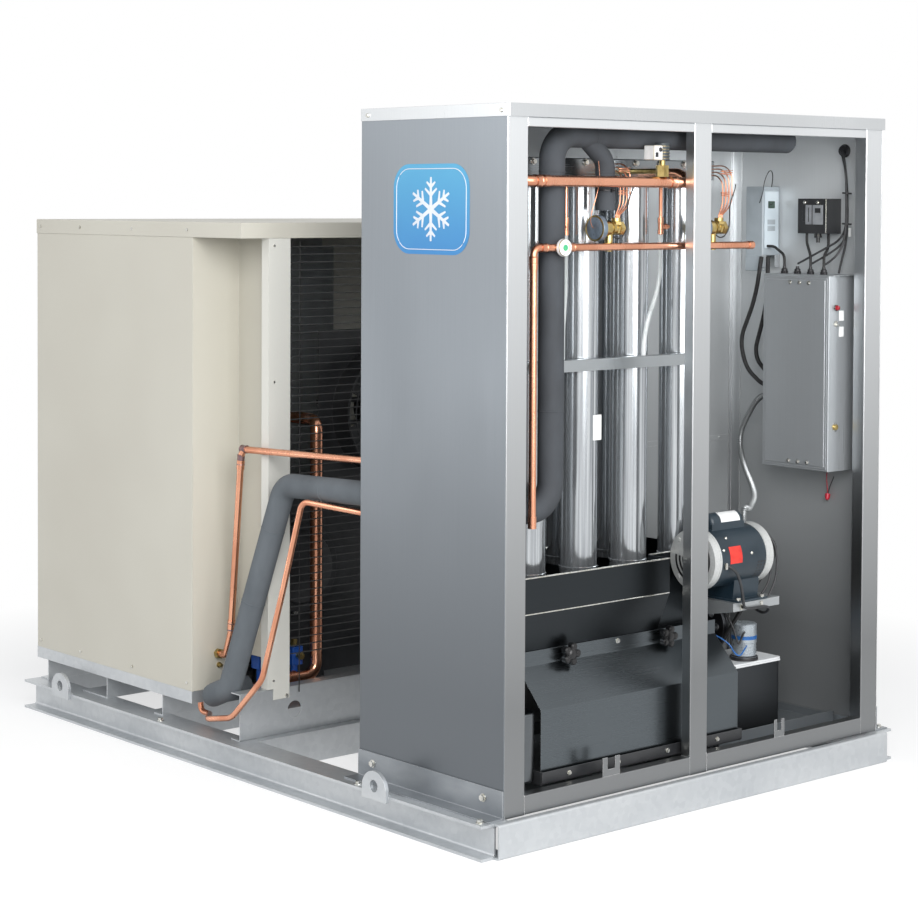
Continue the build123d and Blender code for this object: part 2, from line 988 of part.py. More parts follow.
plate_front = throat_front + 20
plate_top = hopper_skirt - 14
rail_y = cab_front + hood_front_inset - 10
rail_bottom = hood_bottom - 22
with BuildPart() as crusher_frame:
    for plate_x in (crusher_left - end_plate, crusher_right):
        with BuildSketch(side_plane(plate_x)) as end_outline:
            with BuildLine():
                Polyline(
                    (plate_front, floor_top),
                    (throat_rear + 60, floor_top),
                    (throat_rear + 60, plate_top + 60),
                    (throat_rear + 8, plate_top + 60),
                    (throat_rear + 8, plate_top),
                    (cutter_y + 70, plate_top + 40),
                    (cutter_y - 70, plate_top + 40),
                    (plate_front, plate_top),
                    close=True,
                )
            make_face()
            with Locations((cutter_y, cutter_height)):
                Circle(cutter_shaft / 2 + 6, mode=Mode.SUBTRACT)
        extrude(end_outline.sketch, amount=end_plate)
        block(
            (plate_x, rail_y + 2, rail_bottom),
            (plate_x + end_plate, plate_front + 10, rail_bottom + 38),
        )
    fold(
        side_plane(crusher_left - end_plate),
        (
            (rail_y + 30, rail_bottom + 4),
            (rail_y, rail_bottom + 4),
            (rail_y, rail_bottom + 38),
        ),
        crusher_right - crusher_left + 2 * end_plate,
        3,
        4,
    )
    for bar_z in (rail_bottom, plate_top - 30):
        block(
            (crusher_left, throat_rear + 50, bar_z),
            (crusher_right, throat_rear + 60, bar_z + 40),
        )
write(crusher_frame.part, "crusher_frame")


def shaft_bearing(plate_face, outward):
    """A square-flanged bearing housing on an end plate."""
    with BuildSketch(side_plane(plate_face)) as flange:
        with Locations((cutter_y, cutter_height)):
            RectangleRounded(96, 96, 14)
            Circle(cutter_shaft / 2 + shaft_fit, mode=Mode.SUBTRACT)
    extrude(flange.sketch, amount=outward * 12)
    with BuildSketch(side_plane(plate_face)) as housing:
        with Locations((cutter_y, cutter_height)):
            Circle(bearing_diameter / 2)
            Circle(cutter_shaft / 2 + shaft_fit, mode=Mode.SUBTRACT)
    extrude(housing.sketch, amount=outward * bearing_length)


with BuildPart() as cutter_bearings:
    shaft_bearing(crusher_left - end_plate, -1)
    shaft_bearing(crusher_right + end_plate, 1)
write(cutter_bearings.part, "cutter_bearings")


def grooved_pulley(y, z, radius, bore):
    """A pulley with a belt groove, turned about an axis along X."""
    left = drive_x - drive_width / 2
    depth = belt_thickness / 2
    with BuildSketch(front_plane(y)) as half_section:
        with BuildLine():
            Polyline(
                (left, z + bore),
                (left + drive_width, z + bore),
                (left + drive_width, z + radius),
                (drive_x + belt_width / 2 + 1, z + radius),
                (drive_x + belt_width / 2 + fit, z + radius - depth),
                (drive_x - belt_width / 2 - fit, z + radius - depth),
                (drive_x - belt_width / 2 - 1, z + radius),
                (left, z + radius),
                close=True,
            )
        make_face()
    revolve(half_section.sketch, axis=Axis((drive_x, y, z), (1, 0, 0)))


shaft_left = crusher_left - end_plate - bearing_length - 8
shaft_right = drive_x + drive_width / 2 + 8
with BuildPart() as cutter_drum:
    drum_left = crusher_left + 14
    drum_right = crusher_right - 14
    rod((shaft_left, cutter_y, cutter_height), (shaft_right, cutter_y, cutter_height), cutter_shaft / 2)
    rod((drum_left, cutter_y, cutter_height), (drum_right, cutter_y, cutter_height), cutter_core / 2)
    blade_step = (drum_right - drum_left - blade_width) / (cutter_blades - 1)
    for i in range(cutter_blades):
        with BuildSketch(side_plane(drum_left + i * blade_step)):
            with Locations((cutter_y, cutter_height)):
                with PolarLocations(cutter_radius / 2, 2, start_angle=i * 50):
                    Rectangle(cutter_radius, blade_thickness)
        extrude(amount=blade_width)
    grooved_pulley(cutter_y, cutter_height, cutter_pulley_radius, cutter_shaft / 4)
    with BuildSketch(side_plane(drive_x - drive_width / 2)) as lightening:
        with Locations((cutter_y, cutter_height)):
            with PolarLocations(cutter_pulley_radius * 0.58, 6):
                Circle(cutter_pulley_radius * 0.15)
    extrude(lightening.sketch, amount=drive_width, mode=Mode.SUBTRACT)
write(cutter_drum.part, "cutter_drum")

with BuildPart() as motor_pulley:
    grooved_pulley(motor_y, motor_height, motor_pulley_radius, motor_shaft / 4)
    rod((motor_right - 4, motor_y, motor_height), (shaft_right, motor_y, motor_height), motor_shaft / 2)
write(motor_pulley.part, "motor_pulley")

with BuildPart() as drive_belt:
    belt_outer = belt_thickness / 2
    belt_inner = belt_outer - fit
    with BuildSketch(side_plane(drive_x - belt_width / 2)):
        for grow, mode in ((belt_outer, Mode.ADD), (-belt_inner, Mode.SUBTRACT)):
            with BuildSketch(mode=Mode.PRIVATE) as loop:
                with Locations((cutter_y, cutter_height)):
                    Circle(cutter_pulley_radius + grow)
                with Locations((motor_y, motor_height)):
                    Circle(motor_pulley_radius + grow)
                make_hull()
            add(loop.sketch, mode=mode)
    extrude(amount=belt_width)
write(drive_belt.part, "drive_belt")


# Motor on its shelf

body_left = motor_left + bell_length
body_right = motor_right - bell_length
with BuildPart() as motor_body:
    rod((body_left, motor_y, motor_height), (body_right, motor_y, motor_height), motor_radius)
    capacitor_z = motor_height + motor_radius + capacitor_radius / 2
    capacitor_left = body_left + 30
    capacitor_right = capacitor_left + 146
    rod(
        (capacitor_left, motor_y, capacitor_z),
        (capacitor_right, motor_y, capacitor_z),
        capacitor_radius,
    )
    fillet(
        motor_body.edges().filter_by(GeomType.CIRCLE).group_by(SortBy.RADIUS)[0],
        radius=capacitor_radius * 0.4,
    )
    block(
        (capacitor_left, motor_y - capacitor_radius, motor_height),
        (capacitor_right, motor_y + capacitor_radius, capacitor_z),
    )
    foot_x = motor_left + 186
    half_foot = motor_foot_width / 2
    foot_top = shelf_top + 6
    block(
        (foot_x - motor_foot_length / 2, motor_y - half_foot, shelf_top),
        (foot_x + motor_foot_length / 2, motor_y + half_foot, foot_top),
    )
    with BuildSketch(side_plane(foot_x - motor_foot_length / 2 + 6)) as cradle:
        with BuildLine():
            Polyline(
                (motor_y - motor_radius * 0.58, foot_top),
                (motor_y + motor_radius * 0.58, foot_top),
                (motor_y + motor_radius * 0.66, motor_height - motor_radius * 0.7),
                (motor_y, motor_height),
                (motor_y - motor_radius * 0.66, motor_height - motor_radius * 0.7),
                close=True,
            )
        make_face()
    extrude(cradle.sketch, amount=motor_foot_length - 20)
write(motor_body.part, "motor_body")


def end_bell(inner, outer, bore):
    """A cast end bell: a ring, a dished face with air slots, and a bearing hub."""
    outward = outer - inner
    with BuildSketch(side_plane(inner)) as ring:
        with Locations((motor_y, motor_height)):
            Circle(bell_radius)
            Circle(bell_radius * 0.93, mode=Mode.SUBTRACT)
    extrude(ring.sketch, amount=outward)
    with BuildSketch(side_plane(outer)) as face:
        with Locations((motor_y, motor_height)):
            Circle(bell_radius)
            Circle(bore, mode=Mode.SUBTRACT)
            for slot_radius in (0.42, 0.58, 0.74):
                for turn in (-55, 125):
                    with PolarLocations(0, 1, start_angle=turn):
                        SlotArc(
                            CenterArc((0, 0), bell_radius * slot_radius, 0, 110).edge(),
                            height=bell_radius * 0.085,
                            mode=Mode.SUBTRACT,
                        )
    extrude(face.sketch, amount=-outward * 0.3)
    with BuildSketch(side_plane(inner)) as hub:
        with Locations((motor_y, motor_height)):
            Circle(bell_radius * 0.3)
            Circle(bore, mode=Mode.SUBTRACT)
    extrude(hub.sketch, amount=outward * 1.12)


with BuildPart() as motor_end_bells:
    end_bell(body_left, motor_left, motor_shaft / 2 + shaft_fit)
    end_bell(body_right, motor_right, motor_shaft / 2 + shaft_fit)
write(motor_end_bells.part, "motor_end_bells")

with BuildPart() as motor_shelf:
    shelf_left = cab_left + shelf_left_inset
    shelf_right = shelf_left + shelf_width
    shelf_front = cab_front + shelf_front_inset
    shelf_back = step_front - fit
    fold(
        side_plane(shelf_left),
        (
            (shelf_back, shelf_top - 60),
            (shelf_back, shelf_top),
            (shelf_front, shelf_top),
            (shelf_front, shelf_top - shelf_flange),
        ),
        shelf_width,
    )
    gusset = (
        (shelf_back, shelf_top),
        (shelf_front, shelf_top),
        (shelf_front, shelf_top - shelf_flange),
        (shelf_back, shelf_top - 60),
    )
    panel(side_plane(shelf_left), gusset, sheet)
    panel(side_plane(shelf_right - sheet), gusset, sheet)
write(motor_shelf.part, "motor_shelf")


# Water side

with BuildPart() as sump_can:
    can_x = cab_left + can_inset
    can_y = cab_front + can_depth_inset
    rod((can_x, can_y, can_bottom), (can_x, can_y, can_bottom + can_height), can_radius)
    fillet(sump_can.edges().filter_by(GeomType.CIRCLE), radius=8)
    rod((can_x, can_y, floor_top), (can_x, can_y, can_bottom + 4), 18)
write(sump_can.part, "sump_can")

tank_left = cab_left + tank_left_inset
tank_right = tank_left + tank_width
tank_front = cab_front + tank_front_inset
tank_back = tank_front + tank_depth
with BuildPart() as water_tank:
    block((tank_left, tank_front, floor_top), (tank_right, tank_back, tank_top))
    fillet(water_tank.edges().filter_by(Axis.Z), radius=12)
    block(
        (tank_left + tank_wall, tank_front + tank_wall, floor_top + tank_wall),
        (tank_right - tank_wall, tank_back - tank_wall, tank_top),
        mode=Mode.SUBTRACT,
    )
write(water_tank.part, "water_tank")

with BuildPart() as tank_lid:
    with BuildSketch(level(tank_top)):
        with Locations(((tank_left + tank_right) / 2, (tank_front + tank_back) / 2)):
            RectangleRounded(tank_width + 6, tank_depth + 6, 12)
    extrude(amount=tank_lid_thickness)
write(tank_lid.part, "tank_lid")

with BuildPart() as water_pump:
    pump_x = cab_left + pump_inset
    pump_y = cab_front + pump_depth_inset
    foot = tank_top + tank_lid_thickness
    rod((pump_x, pump_y, foot), (pump_x, pump_y, foot + 12), pump_radius + 4)
    rod((pump_x, pump_y, foot + 12), (pump_x, pump_y, foot + 60), pump_radius - 2)
    rod((pump_x, pump_y, foot + 60), (pump_x, pump_y, foot + 118), pump_radius)
    fillet(water_pump.faces().sort_by(Axis.Z)[-1].edges(), radius=7)
write(water_pump.part, "water_pump")


# Controls on the right wall

with BuildPart() as electrical_enclosure:
    block(
        (enclosure_left, enclosure_front, enclosure_bottom),
        (enclosure_left + enclosure_depth, enclosure_back, enclosure_top),
    )
    fillet(electrical_enclosure.faces().sort_by(Axis.X)[0].edges(), radius=bend_radius)
    lip = 12
    block(
        (enclosure_left + 6, enclosure_front - lip, enclosure_top),
        (enclosure_left + enclosure_depth, enclosure_back, enclosure_top + sheet),
    )
    with BuildSketch(front_plane(enclosure_front)):
        with Locations((control_x, enclosure_bottom + button_rise)):
            Circle(button_radius + fit)
    extrude(amount=-12, mode=Mode.SUBTRACT)
    with BuildSketch(front_plane(enclosure_front)):
        with Locations((control_x, enclosure_top - toggle_drop)):
            Circle(toggle_bore)
    extrude(amount=-10, mode=Mode.SUBTRACT)
write(electrical_enclosure.part, "electrical_enclosure")

with BuildPart() as enclosure_fittings:
    lamp_z = enclosure_top - lamp_drop
    toggle_z = enclosure_top - toggle_drop
    rod((control_x, enclosure_front, lamp_z), (control_x, enclosure_front - 4, lamp_z), 10)
    rod((control_x, enclosure_front - 4, lamp_z), (control_x, enclosure_front - 12, lamp_z), 8)
    fillet(enclosure_fittings.faces().sort_by(Axis.Y)[0].edges(), radius=3)
    for plate_z in (toggle_z + 26, toggle_z - 26):
        block(
            (control_x + 16, enclosure_front - 1.5, plate_z - 16),
            (control_x + 38, enclosure_front, plate_z + 16),
        )
    for gland_y in (0.25, 0.45, 0.65, 0.85):
        place_y = enclosure_front + enclosure_width * gland_y
        place_x = enclosure_left + 56
        rim = enclosure_top + sheet
        rod((place_x, place_y, rim), (place_x, place_y, rim + 7), 12)
        rod((place_x, place_y, rim + 7), (place_x, place_y, rim + 16), 9)
write(enclosure_fittings.part, "enclosure_fittings")

with BuildPart() as toggle_lever:
    root_y = enclosure_front + 3
    half_pivot = toggle_pivot_length / 2
    rod((control_x - half_pivot, root_y, toggle_z), (control_x + half_pivot, root_y, toggle_z), toggle_pivot)
    tip_y = enclosure_front - toggle_length
    tip_z = toggle_z - toggle_length * tan(radians(toggle_travel))
    rod((control_x, root_y, toggle_z), (control_x, tip_y, tip_z), 2.6)
write(toggle_lever.part, "toggle_lever")

button_travel = 3
with BuildPart() as push_button:
    button_z = enclosure_bottom + button_rise
    rod(
        (control_x, enclosure_front + 6, button_z),
        (control_x, enclosure_front - button_travel - 6, button_z),
        button_radius,
    )
    fillet(push_button.faces().sort_by(Axis.Y)[0].edges(), radius=2)
write(push_button.part, "push_button")

with BuildPart() as temperature_controller:
    case_left = inner_right - fit - controller_depth
    case_back = controller_front + controller_width
    case_top = controller_bottom + controller_height
    case = (inner_right - fit, case_back, case_top)
    block((case_left, controller_front, controller_bottom), case)
    fillet(temperature_controller.edges().filter_by(Axis.Z), radius=4)
    fillet(temperature_controller.faces().sort_by(Axis.Z)[-1].edges(), radius=3)
    screen_z = controller_bottom + controller_height * 0.72
    block(
        (case_left + 26, controller_front, screen_z - 10),
        (case_left + 58, controller_front + 1.5, screen_z + 10),
        mode=Mode.SUBTRACT,
    )
    bracket = enclosure_top + sheet
    fold(
        front_plane(case_back - 4),
        (
            (inner_right - fit, controller_bottom),
            (case_left - 4, controller_bottom),
            (case_left - 4, bracket + 4),
            (case_left + 30, bracket + 4),
        ),
        controller_width - 8,
    )
write(temperature_controller.part, "temperature_controller")

pressure_front = cab_front + pressure_front_inset
pressure_back = pressure_front + pressure_width
with BuildPart() as pressure_control:
    pressure_left = inner_right - fit - pressure_depth
    block(
        (pressure_left, pressure_front, pressure_bottom),
        (inner_right - fit, pressure_back, pressure_bottom + pressure_height),
    )
    fillet(pressure_control.faces().sort_by(Axis.X)[0].edges(), radius=3)
    dial_y = (pressure_front + pressure_back) / 2
    dial_z = pressure_bottom + pressure_height * 0.58
    block(
        (pressure_left - 1, dial_y - 40, dial_z - 28),
        (pressure_left, dial_y + 40, dial_z + 28),
    )
    nose_x = pressure_left + 34
    rod((nose_x, dial_y, pressure_bottom), (nose_x, dial_y, pressure_bottom - 14), 13)
    rod((nose_x, dial_y, pressure_bottom - 14), (nose_x, dial_y, pressure_bottom - 30), 6)
write(pressure_control.part, "pressure_control")

gland_x = enclosure_left + 56
gland_z = enclosure_top + sheet + 16 + fit
gland_ys = [enclosure_front + enclosure_width * share for share in (0.25, 0.45, 0.65, 0.85)]
cable_x = enclosure_left + 55
probe_x = case_left + 24
drop_y = controller_front - 8


def gland_lead(start, leave, gland_y):
    """A thin cable from a device into one of the glands on top of the enclosure."""
    run_out = tuple(Vector(*start) + Vector(*leave))
    pipe((start, run_out, (gland_x, gland_y, gland_z + 44), (gland_x, gland_y, gland_z)), 9)


with BuildPart() as control_cables:
    gland_lead(
        (pressure_left + 56, pressure_front + 34, pressure_bottom - fit),
        (0, 0, -46),
        gland_ys[0],
    )
    gland_lead(
        (pressure_left + 20, pressure_front + 96, pressure_bottom - fit),
        (0, 0, -30),
        gland_ys[1],
    )
    gland_lead(
        (probe_x, controller_front - fit, controller_bottom + 30),
        (0, -30, 0),
        gland_ys[3],
    )
    pipe(
        (
            (cable_x, drop_y, 1640),
            (cable_x, drop_y + 26, 1500),
            (cable_x, drop_y + 93, 1356),
            (cable_x, drop_y + 64, 1262),
            (cable_x, enclosure_back + 50, 1212),
            (cable_x, enclosure_back + fit, 1212),
        ),
        control_cable,
    )
    pipe(
        (
            (cable_x + 22, drop_y - 10, 1640),
            (cable_x + 22, drop_y - 6, 1480),
            (cable_x + 22, drop_y + 42, 1330),
            (cable_x + 22, drop_y + 34, 1290),
            (cable_x + 22, enclosure_back + 44, 1246),
            (cable_x + 22, enclosure_back + fit, 1246),
        ),
        control_cable,
    )
write(control_cables.part, "control_cables")

motor_entry_x = motor_left + 232
with BuildPart() as flexible_conduit:
    entry = motor_height + motor_radius + fit
    pipe(
        (
            (cable_x, enclosure_back + fit, 1180),
            (cable_x, enclosure_back + 66, 1180),
            (cable_x, enclosure_back + 138, 1034),
            (cable_x - 30, enclosure_back + 110, 950),
            (cable_x - 150, enclosure_back - 60, 862),
            (motor_entry_x + 60, motor_y + 34, 850),
            (motor_entry_x, motor_y, 858),
            (motor_entry_x, motor_y, entry),
        ),
        conduit_diameter,
    )
write(flexible_conduit.part, "flexible_conduit")


# Condensing unit: base, panels and lid

with BuildPart() as unit_base:
    rail_top = deck + unit_front_rail
    with BuildSketch(side_plane(unit_left)):
        with BuildLine():
            FilletPolyline(
                (unit_front + unit_front_rail_depth, rail_top),
                (unit_front, rail_top),
                (unit_front, deck),
                (unit_front + unit_front_rail_depth, deck),
                radius=4,
            )
            offset(amount=3, side=Side.LEFT)
        make_face()
    extrude(amount=unit_width)
    with BuildSketch(front_plane(unit_front - 1)):
        with Locations((unit_left + base_hole_inset, deck + 74)):
            Circle(base_hole / 2)
    extrude(amount=-10, mode=Mode.SUBTRACT)
    foot_places = (
        (unit_front + 455, 52),
        (unit_front + 800, 160),
        (unit_back - 60, 52),
    )
    for foot_y, foot_depth in foot_places:
        block((unit_left + 10, foot_y, deck), (unit_right - 10, foot_y + 4, pan_bottom))
        block((unit_left + 10, foot_y, deck), (unit_right - 10, foot_y + foot_depth, deck + 4))
        block((unit_left + 10, foot_y, pan_bottom - 4), (unit_right - 10, foot_y + foot_depth, pan_bottom))
    pan_front = unit_front + unit_front_rail_depth
    with BuildSketch(level(pan_bottom)):
        with BuildLine():
            Polyline(
                (recess_right + 2, pan_front - 45),
                (unit_right, pan_front - 45),
                (unit_right, unit_back),
                (unit_left, unit_back),
                (unit_left, recess_back),
                (recess_right + 2, recess_back),
                close=True,
            )
        make_face()
    extrude(amount=sheet)
    rim = unit_rail_height
    block((unit_left, recess_back, pan_bottom), (unit_left + sheet, unit_back, pan_bottom + rim))
    block((unit_right - sheet, pan_front, pan_bottom), (unit_right, unit_back, pan_bottom + rim))
    block((unit_left, unit_back - sheet, pan_bottom), (unit_right, unit_back, pan_bottom + rim))
    block((unit_left, recess_back, pan_bottom), (recess_right, recess_back + sheet, pan_bottom + rim))
write(unit_base.part, "unit_base")

panel_height = unit_panel_top - panel_bottom
with BuildPart() as unit_side_panel:
    fold(
        level(panel_bottom),
        (
            (unit_left + panel_return, unit_back),
            (unit_left, unit_back),
            (unit_left, recess_back),
            (unit_left + panel_return, recess_back),
        ),
        panel_height,
    )
write(unit_side_panel.part, "unit_side_panel")

with BuildPart() as unit_corner_panel:
    corner_left = unit_left + fit
    corner_face = recess_back - fit
    window = panel_bottom + recess_opening
    fold(
        level(panel_bottom),
        (
            (recess_right, corner_face - 40),
            (recess_right, corner_face),
            (corner_left, corner_face),
        ),
        panel_height,
    )
    panel(
        side_plane(recess_right - sheet),
        (
            (corner_face - 38, window),
            (corner_face - 38, unit_panel_top),
            (unit_front + 2, unit_panel_top),
            (unit_front + 2, window),
        ),
        sheet,
    )
write(unit_corner_panel.part, "unit_corner_panel")

post_outer = recess_right - 77
post_inner = post_outer + unit_post_width
post_step = 22


def front_post(outer, inner):
    """A folded post in front of the wire guard, its wide flange lapped over the base rail."""
    low = min(outer, inner)
    high = max(outer, inner)
    front = unit_front - fit - sheet
    notch = outer + post_step * (1 if inner > outer else -1)
    with BuildSketch(front_plane(front + sheet)) as face:
        with BuildLine():
            Polyline(
                (outer, rail_top + fit),
                (notch, rail_top + fit),
                (notch, panel_bottom),
                (inner, panel_bottom),
                (inner, unit_panel_top),
                (outer, unit_panel_top),
                close=True,
            )
        make_face()
    extrude(face.sketch, amount=sheet)
    for edge in (low, high - sheet):
        block((edge, front, rail_top + fit), (edge + sheet, unit_front + 36, unit_panel_top))


with BuildPart() as unit_end_panels:
    front_post(post_outer, post_inner)
    front_post(-post_outer, -post_inner)
    fold(
        level(rail_top + fit),
        (
            (-post_outer + fit, unit_front + fit),
            (unit_right, unit_front + fit),
            (unit_right, unit_front + 60),
        ),
        unit_panel_top - rail_top - fit,
    )
    fold(
        level(panel_bottom),
        (
            (unit_right, unit_front + 55),
            (unit_right, unit_back),
            (unit_right - panel_return, unit_back),
        ),
        panel_height,
    )
    block(
        (unit_left + panel_return + fit, unit_back - sheet, panel_bottom),
        (fan_x - fan_radius - 160, unit_back, unit_panel_top),
    )
    block(
        (fan_x + fan_radius + 160, unit_back - sheet, panel_bottom),
        (unit_right - panel_return - fit, unit_back, unit_panel_top),
    )
write(unit_end_panels.part, "unit_end_panels")

with BuildPart() as unit_lid:
    block(
        (unit_left - 2, unit_front - 5, unit_panel_top),
        (unit_right + 2, unit_back, unit_panel_top + unit_lid_height),
    )
    fillet(unit_lid.faces().sort_by(Axis.Z)[-1].edges(), radius=bend_radius)
    block(
        (unit_left, unit_front - 5 + sheet, unit_panel_top),
        (unit_right, unit_back - sheet, unit_panel_top + unit_lid_height - sheet),
        mode=Mode.SUBTRACT,
    )
    with BuildSketch(level(unit_panel_top)):
        with Locations(((0, (unit_front - 5 + unit_back) / 2))):
            Rectangle(unit_width, unit_length + 3)
            Rectangle(unit_width - 60, unit_length - 57, mode=Mode.SUBTRACT)
    extrude(amount=sheet)
write(unit_lid.part, "unit_lid")

guard_left = post_inner + 1
guard_right = -guard_left
upright_y = unit_front - fit - guard_wire / 2
cross_wire_y = upright_y - guard_wire * 0.8
with BuildPart() as wire_guard:
    for i in range(guard_wires):
        with BuildSketch(side_plane(guard_left)):
            with Locations((cross_wire_y, guard_bottom + i * guard_pitch)):
                RegularPolygon(guard_wire / 2, 6)
        extrude(amount=guard_right - guard_left)
    for i in range(5):
        upright_x = guard_left + 38 + i * (guard_right - guard_left - 76) / 4
        with BuildSketch(level(rail_top - 22)):
            with Locations((upright_x, upright_y)):
                RegularPolygon(guard_wire / 2, 6)
        extrude(amount=unit_panel_top - rail_top + 12)
write(wire_guard.part, "wire_guard")


# Condensing unit: refrigeration parts

compressor_x = unit_left + 445
compressor_front = unit_front + 265
compressor_axis = pan_top + 400
with BuildPart() as compressor:
    barrel_end = compressor_front + 470
    rod(
        (compressor_x, compressor_front, compressor_axis),
        (compressor_x, barrel_end, compressor_axis),
        compressor_radius,
    )
    rod(
        (compressor_x, compressor_front + 40, compressor_axis),
        (compressor_x, compressor_front + 62, compressor_axis),
        compressor_radius + 18,
    )
    block(
        (compressor_x - 130, compressor_front + 90, compressor_axis),
        (compressor_x + 130, compressor_front + 330, compressor_axis + 250),
    )
    head_edges = compressor.faces().sort_by(Axis.Z)[-1].edges()
    fillet(head_edges, radius=16)
    block(
        (compressor_x - 90, compressor_front + 340, compressor_axis + 100),
        (compressor_x + 90, compressor_front + 450, compressor_axis + 320),
    )
    for leg_y in (compressor_front + 70, compressor_front + 380):
        with BuildSketch(front_plane(leg_y)):
            with BuildLine():
                Polyline(
                    (compressor_x - 150, pan_top),
                    (compressor_x + 150, pan_top),
                    (compressor_x + 100, compressor_axis),
                    (compressor_x - 100, compressor_axis),
                    close=True,
                )
            make_face()
        extrude(amount=-14)
write(compressor.part, "compressor")

with BuildPart() as liquid_receiver:
    receiver_x = compressor_x + 420
    receiver_z = pan_top + receiver_radius + 36
    receiver_front = unit_front + 640
    rod(
        (receiver_x, receiver_front, receiver_z),
        (receiver_x, receiver_front + 420, receiver_z),
        receiver_radius,
    )
    fillet(liquid_receiver.edges().filter_by(GeomType.CIRCLE), radius=40)
    for saddle_y in (receiver_front + 90, receiver_front + 330):
        block(
            (receiver_x - 80, saddle_y, pan_top),
            (receiver_x + 80, saddle_y + 8, receiver_z - receiver_radius * 0.6),
        )
write(liquid_receiver.part, "liquid_receiver")

coil_back = unit_back - sheet - fit
coil_left = fan_x - fan_radius - 150
coil_right = fan_x + fan_radius + 150
with BuildPart() as condenser_coil:
    coil_top = unit_panel_top - 60
    block((coil_left, coil_back - coil_thickness, pan_top), (coil_right, coil_back, coil_top))
    fin_count = 24
    fin_pitch = (coil_right - coil_left - 40) / fin_count
    with BuildSketch(front_plane(coil_back)):
        with Locations((fan_x, (pan_top + coil_top) / 2)):
            with GridLocations(fin_pitch, 1, fin_count, 1):
                Rectangle(fin_pitch * 0.55, coil_top - pan_top - 60)
    extrude(amount=8, mode=Mode.SUBTRACT)
write(condenser_coil.part, "condenser_coil")

shroud_y = fan_y + 70
with BuildPart() as fan_shroud:
    frame_half = fan_radius + 75
    with BuildSketch(front_plane(shroud_y)):
        with BuildLine():
            Polyline(
                (fan_x - frame_half, pan_top),
                (fan_x + frame_half, pan_top),
                (fan_x + frame_half, fan_height + frame_half),
                (fan_x - frame_half, fan_height + frame_half),
                close=True,
            )
        make_face()
        with Locations((fan_x, fan_height)):
            Circle(fan_radius + 12, mode=Mode.SUBTRACT)
    extrude(amount=sheet)
    with BuildSketch(front_plane(shroud_y)):
        with Locations((fan_x, fan_height)):
            Circle(fan_radius + 14)
            Circle(fan_radius + 12, mode=Mode.SUBTRACT)
    extrude(amount=90)
    guard_face = shroud_y - 90
    for ring in range(7):
        ring_radius = 40 + ring * (fan_radius - 30) / 6
        with BuildSketch(front_plane(guard_face)):
            with Locations((fan_x, fan_height)):
                Circle(ring_radius + 2)
                Circle(ring_radius - 2, mode=Mode.SUBTRACT)
        extrude(amount=4)
    with BuildSketch(front_plane(guard_face)):
        with Locations((fan_x, fan_height)):
            with PolarLocations(fan_radius / 2 + 20, 6, start_angle=30):
                Rectangle(fan_radius - 24, 5)
    extrude(amount=4)
    motor_back = shroud_y + 90
    rod((fan_x, shroud_y + 10, fan_height), (fan_x, motor_back, fan_height), 62)
    for arm_z in (fan_height - 40, fan_height + 40):
        block((fan_x - frame_half, shroud_y, arm_z - 8), (fan_x + frame_half, shroud_y + 12, arm_z + 8))
    rod((fan_x, shroud_y - 1, fan_height), (fan_x, shroud_y + 20, fan_height), 8.05, mode=Mode.SUBTRACT)
write(fan_shroud.part, "fan_shroud")

with BuildPart() as condenser_fan:
    hub_front = shroud_y - 62
    hub_back = shroud_y - 12
    rod((fan_x, hub_front, fan_height), (fan_x, hub_back, fan_height), 46)
    rod((fan_x, hub_back, fan_height), (fan_x, shroud_y + 18, fan_height), 8)
    for i in range(fan_blades):
        turn = i * 360 / fan_blades
        direction = Vector(cos(radians(turn)), 0, sin(radians(turn)))
        root_point = Vector(fan_x, (hub_front + hub_back) / 2, fan_height) + direction * 40
        blade_plane = Plane(origin=root_point, x_dir=(0, 1, 0), z_dir=direction)
        with BuildSketch(blade_plane):
            Rectangle(4, 70, rotation=42)
        with BuildSketch(blade_plane.offset(fan_radius - 42)):
            Rectangle(4, 120, rotation=24)
        loft()
write(condenser_fan.part, "condenser_fan")

with BuildPart() as service_valves:
    suction_valve = (-625, unit_front + 195, 302)
    liquid_valve = (-485, unit_front + 195, 297)
    for valve_x, valve_y, valve_z in (suction_valve, liquid_valve):
        rod((valve_x, valve_y, pan_top), (valve_x, valve_y, valve_z - 26), valve_stem)
        block(
            (valve_x - 22, valve_y - 22, valve_z - 26),
            (valve_x + 22, valve_y + 22, valve_z + 34),
        )
    fillet(service_valves.edges().filter_by(Axis.Z), radius=5)
write(service_valves.part, "service_valves")

riser_x = -430
riser_y = unit_front + 147
with BuildPart() as compressor_pipes:
    route = (
        (-530, riser_y, 236),
        (riser_x, riser_y, 236),
        (riser_x, riser_y, 1085),
        (riser_x + 30, riser_y + 80, 1085),
        (riser_x + 30, compressor_front + 210, 1085),
        (riser_x + 30, compressor_front + 210, compressor_axis + 250 + fit),
    )
    pipe(route, compressor_pipe, corner_radii(route, largest=compressor_pipe * 1.3))
    rod((-556, riser_y, 236), (-520, riser_y, 236), compressor_pipe / 2 + 5)
write(compressor_pipes.part, "compressor_pipes")


# Pipes between the two assemblies

with BuildPart() as suction_line:
    pipe(
        (
            (suction_line_x, inner_back - fit, riser_exit_height),
            (suction_line_x, cab_back + 40, riser_exit_height),
            (suction_line_x, -112, 922),
            (-815, 90, 252),
            (-824, 190, 208),
            (-760, 212, stub_height),
            (recess_right - sheet - fit, 212, stub_height),
        ),
        insulation_diameter,
        [600, 62, 50, 46, 120],
    )
write(suction_line.part, "suction_line")

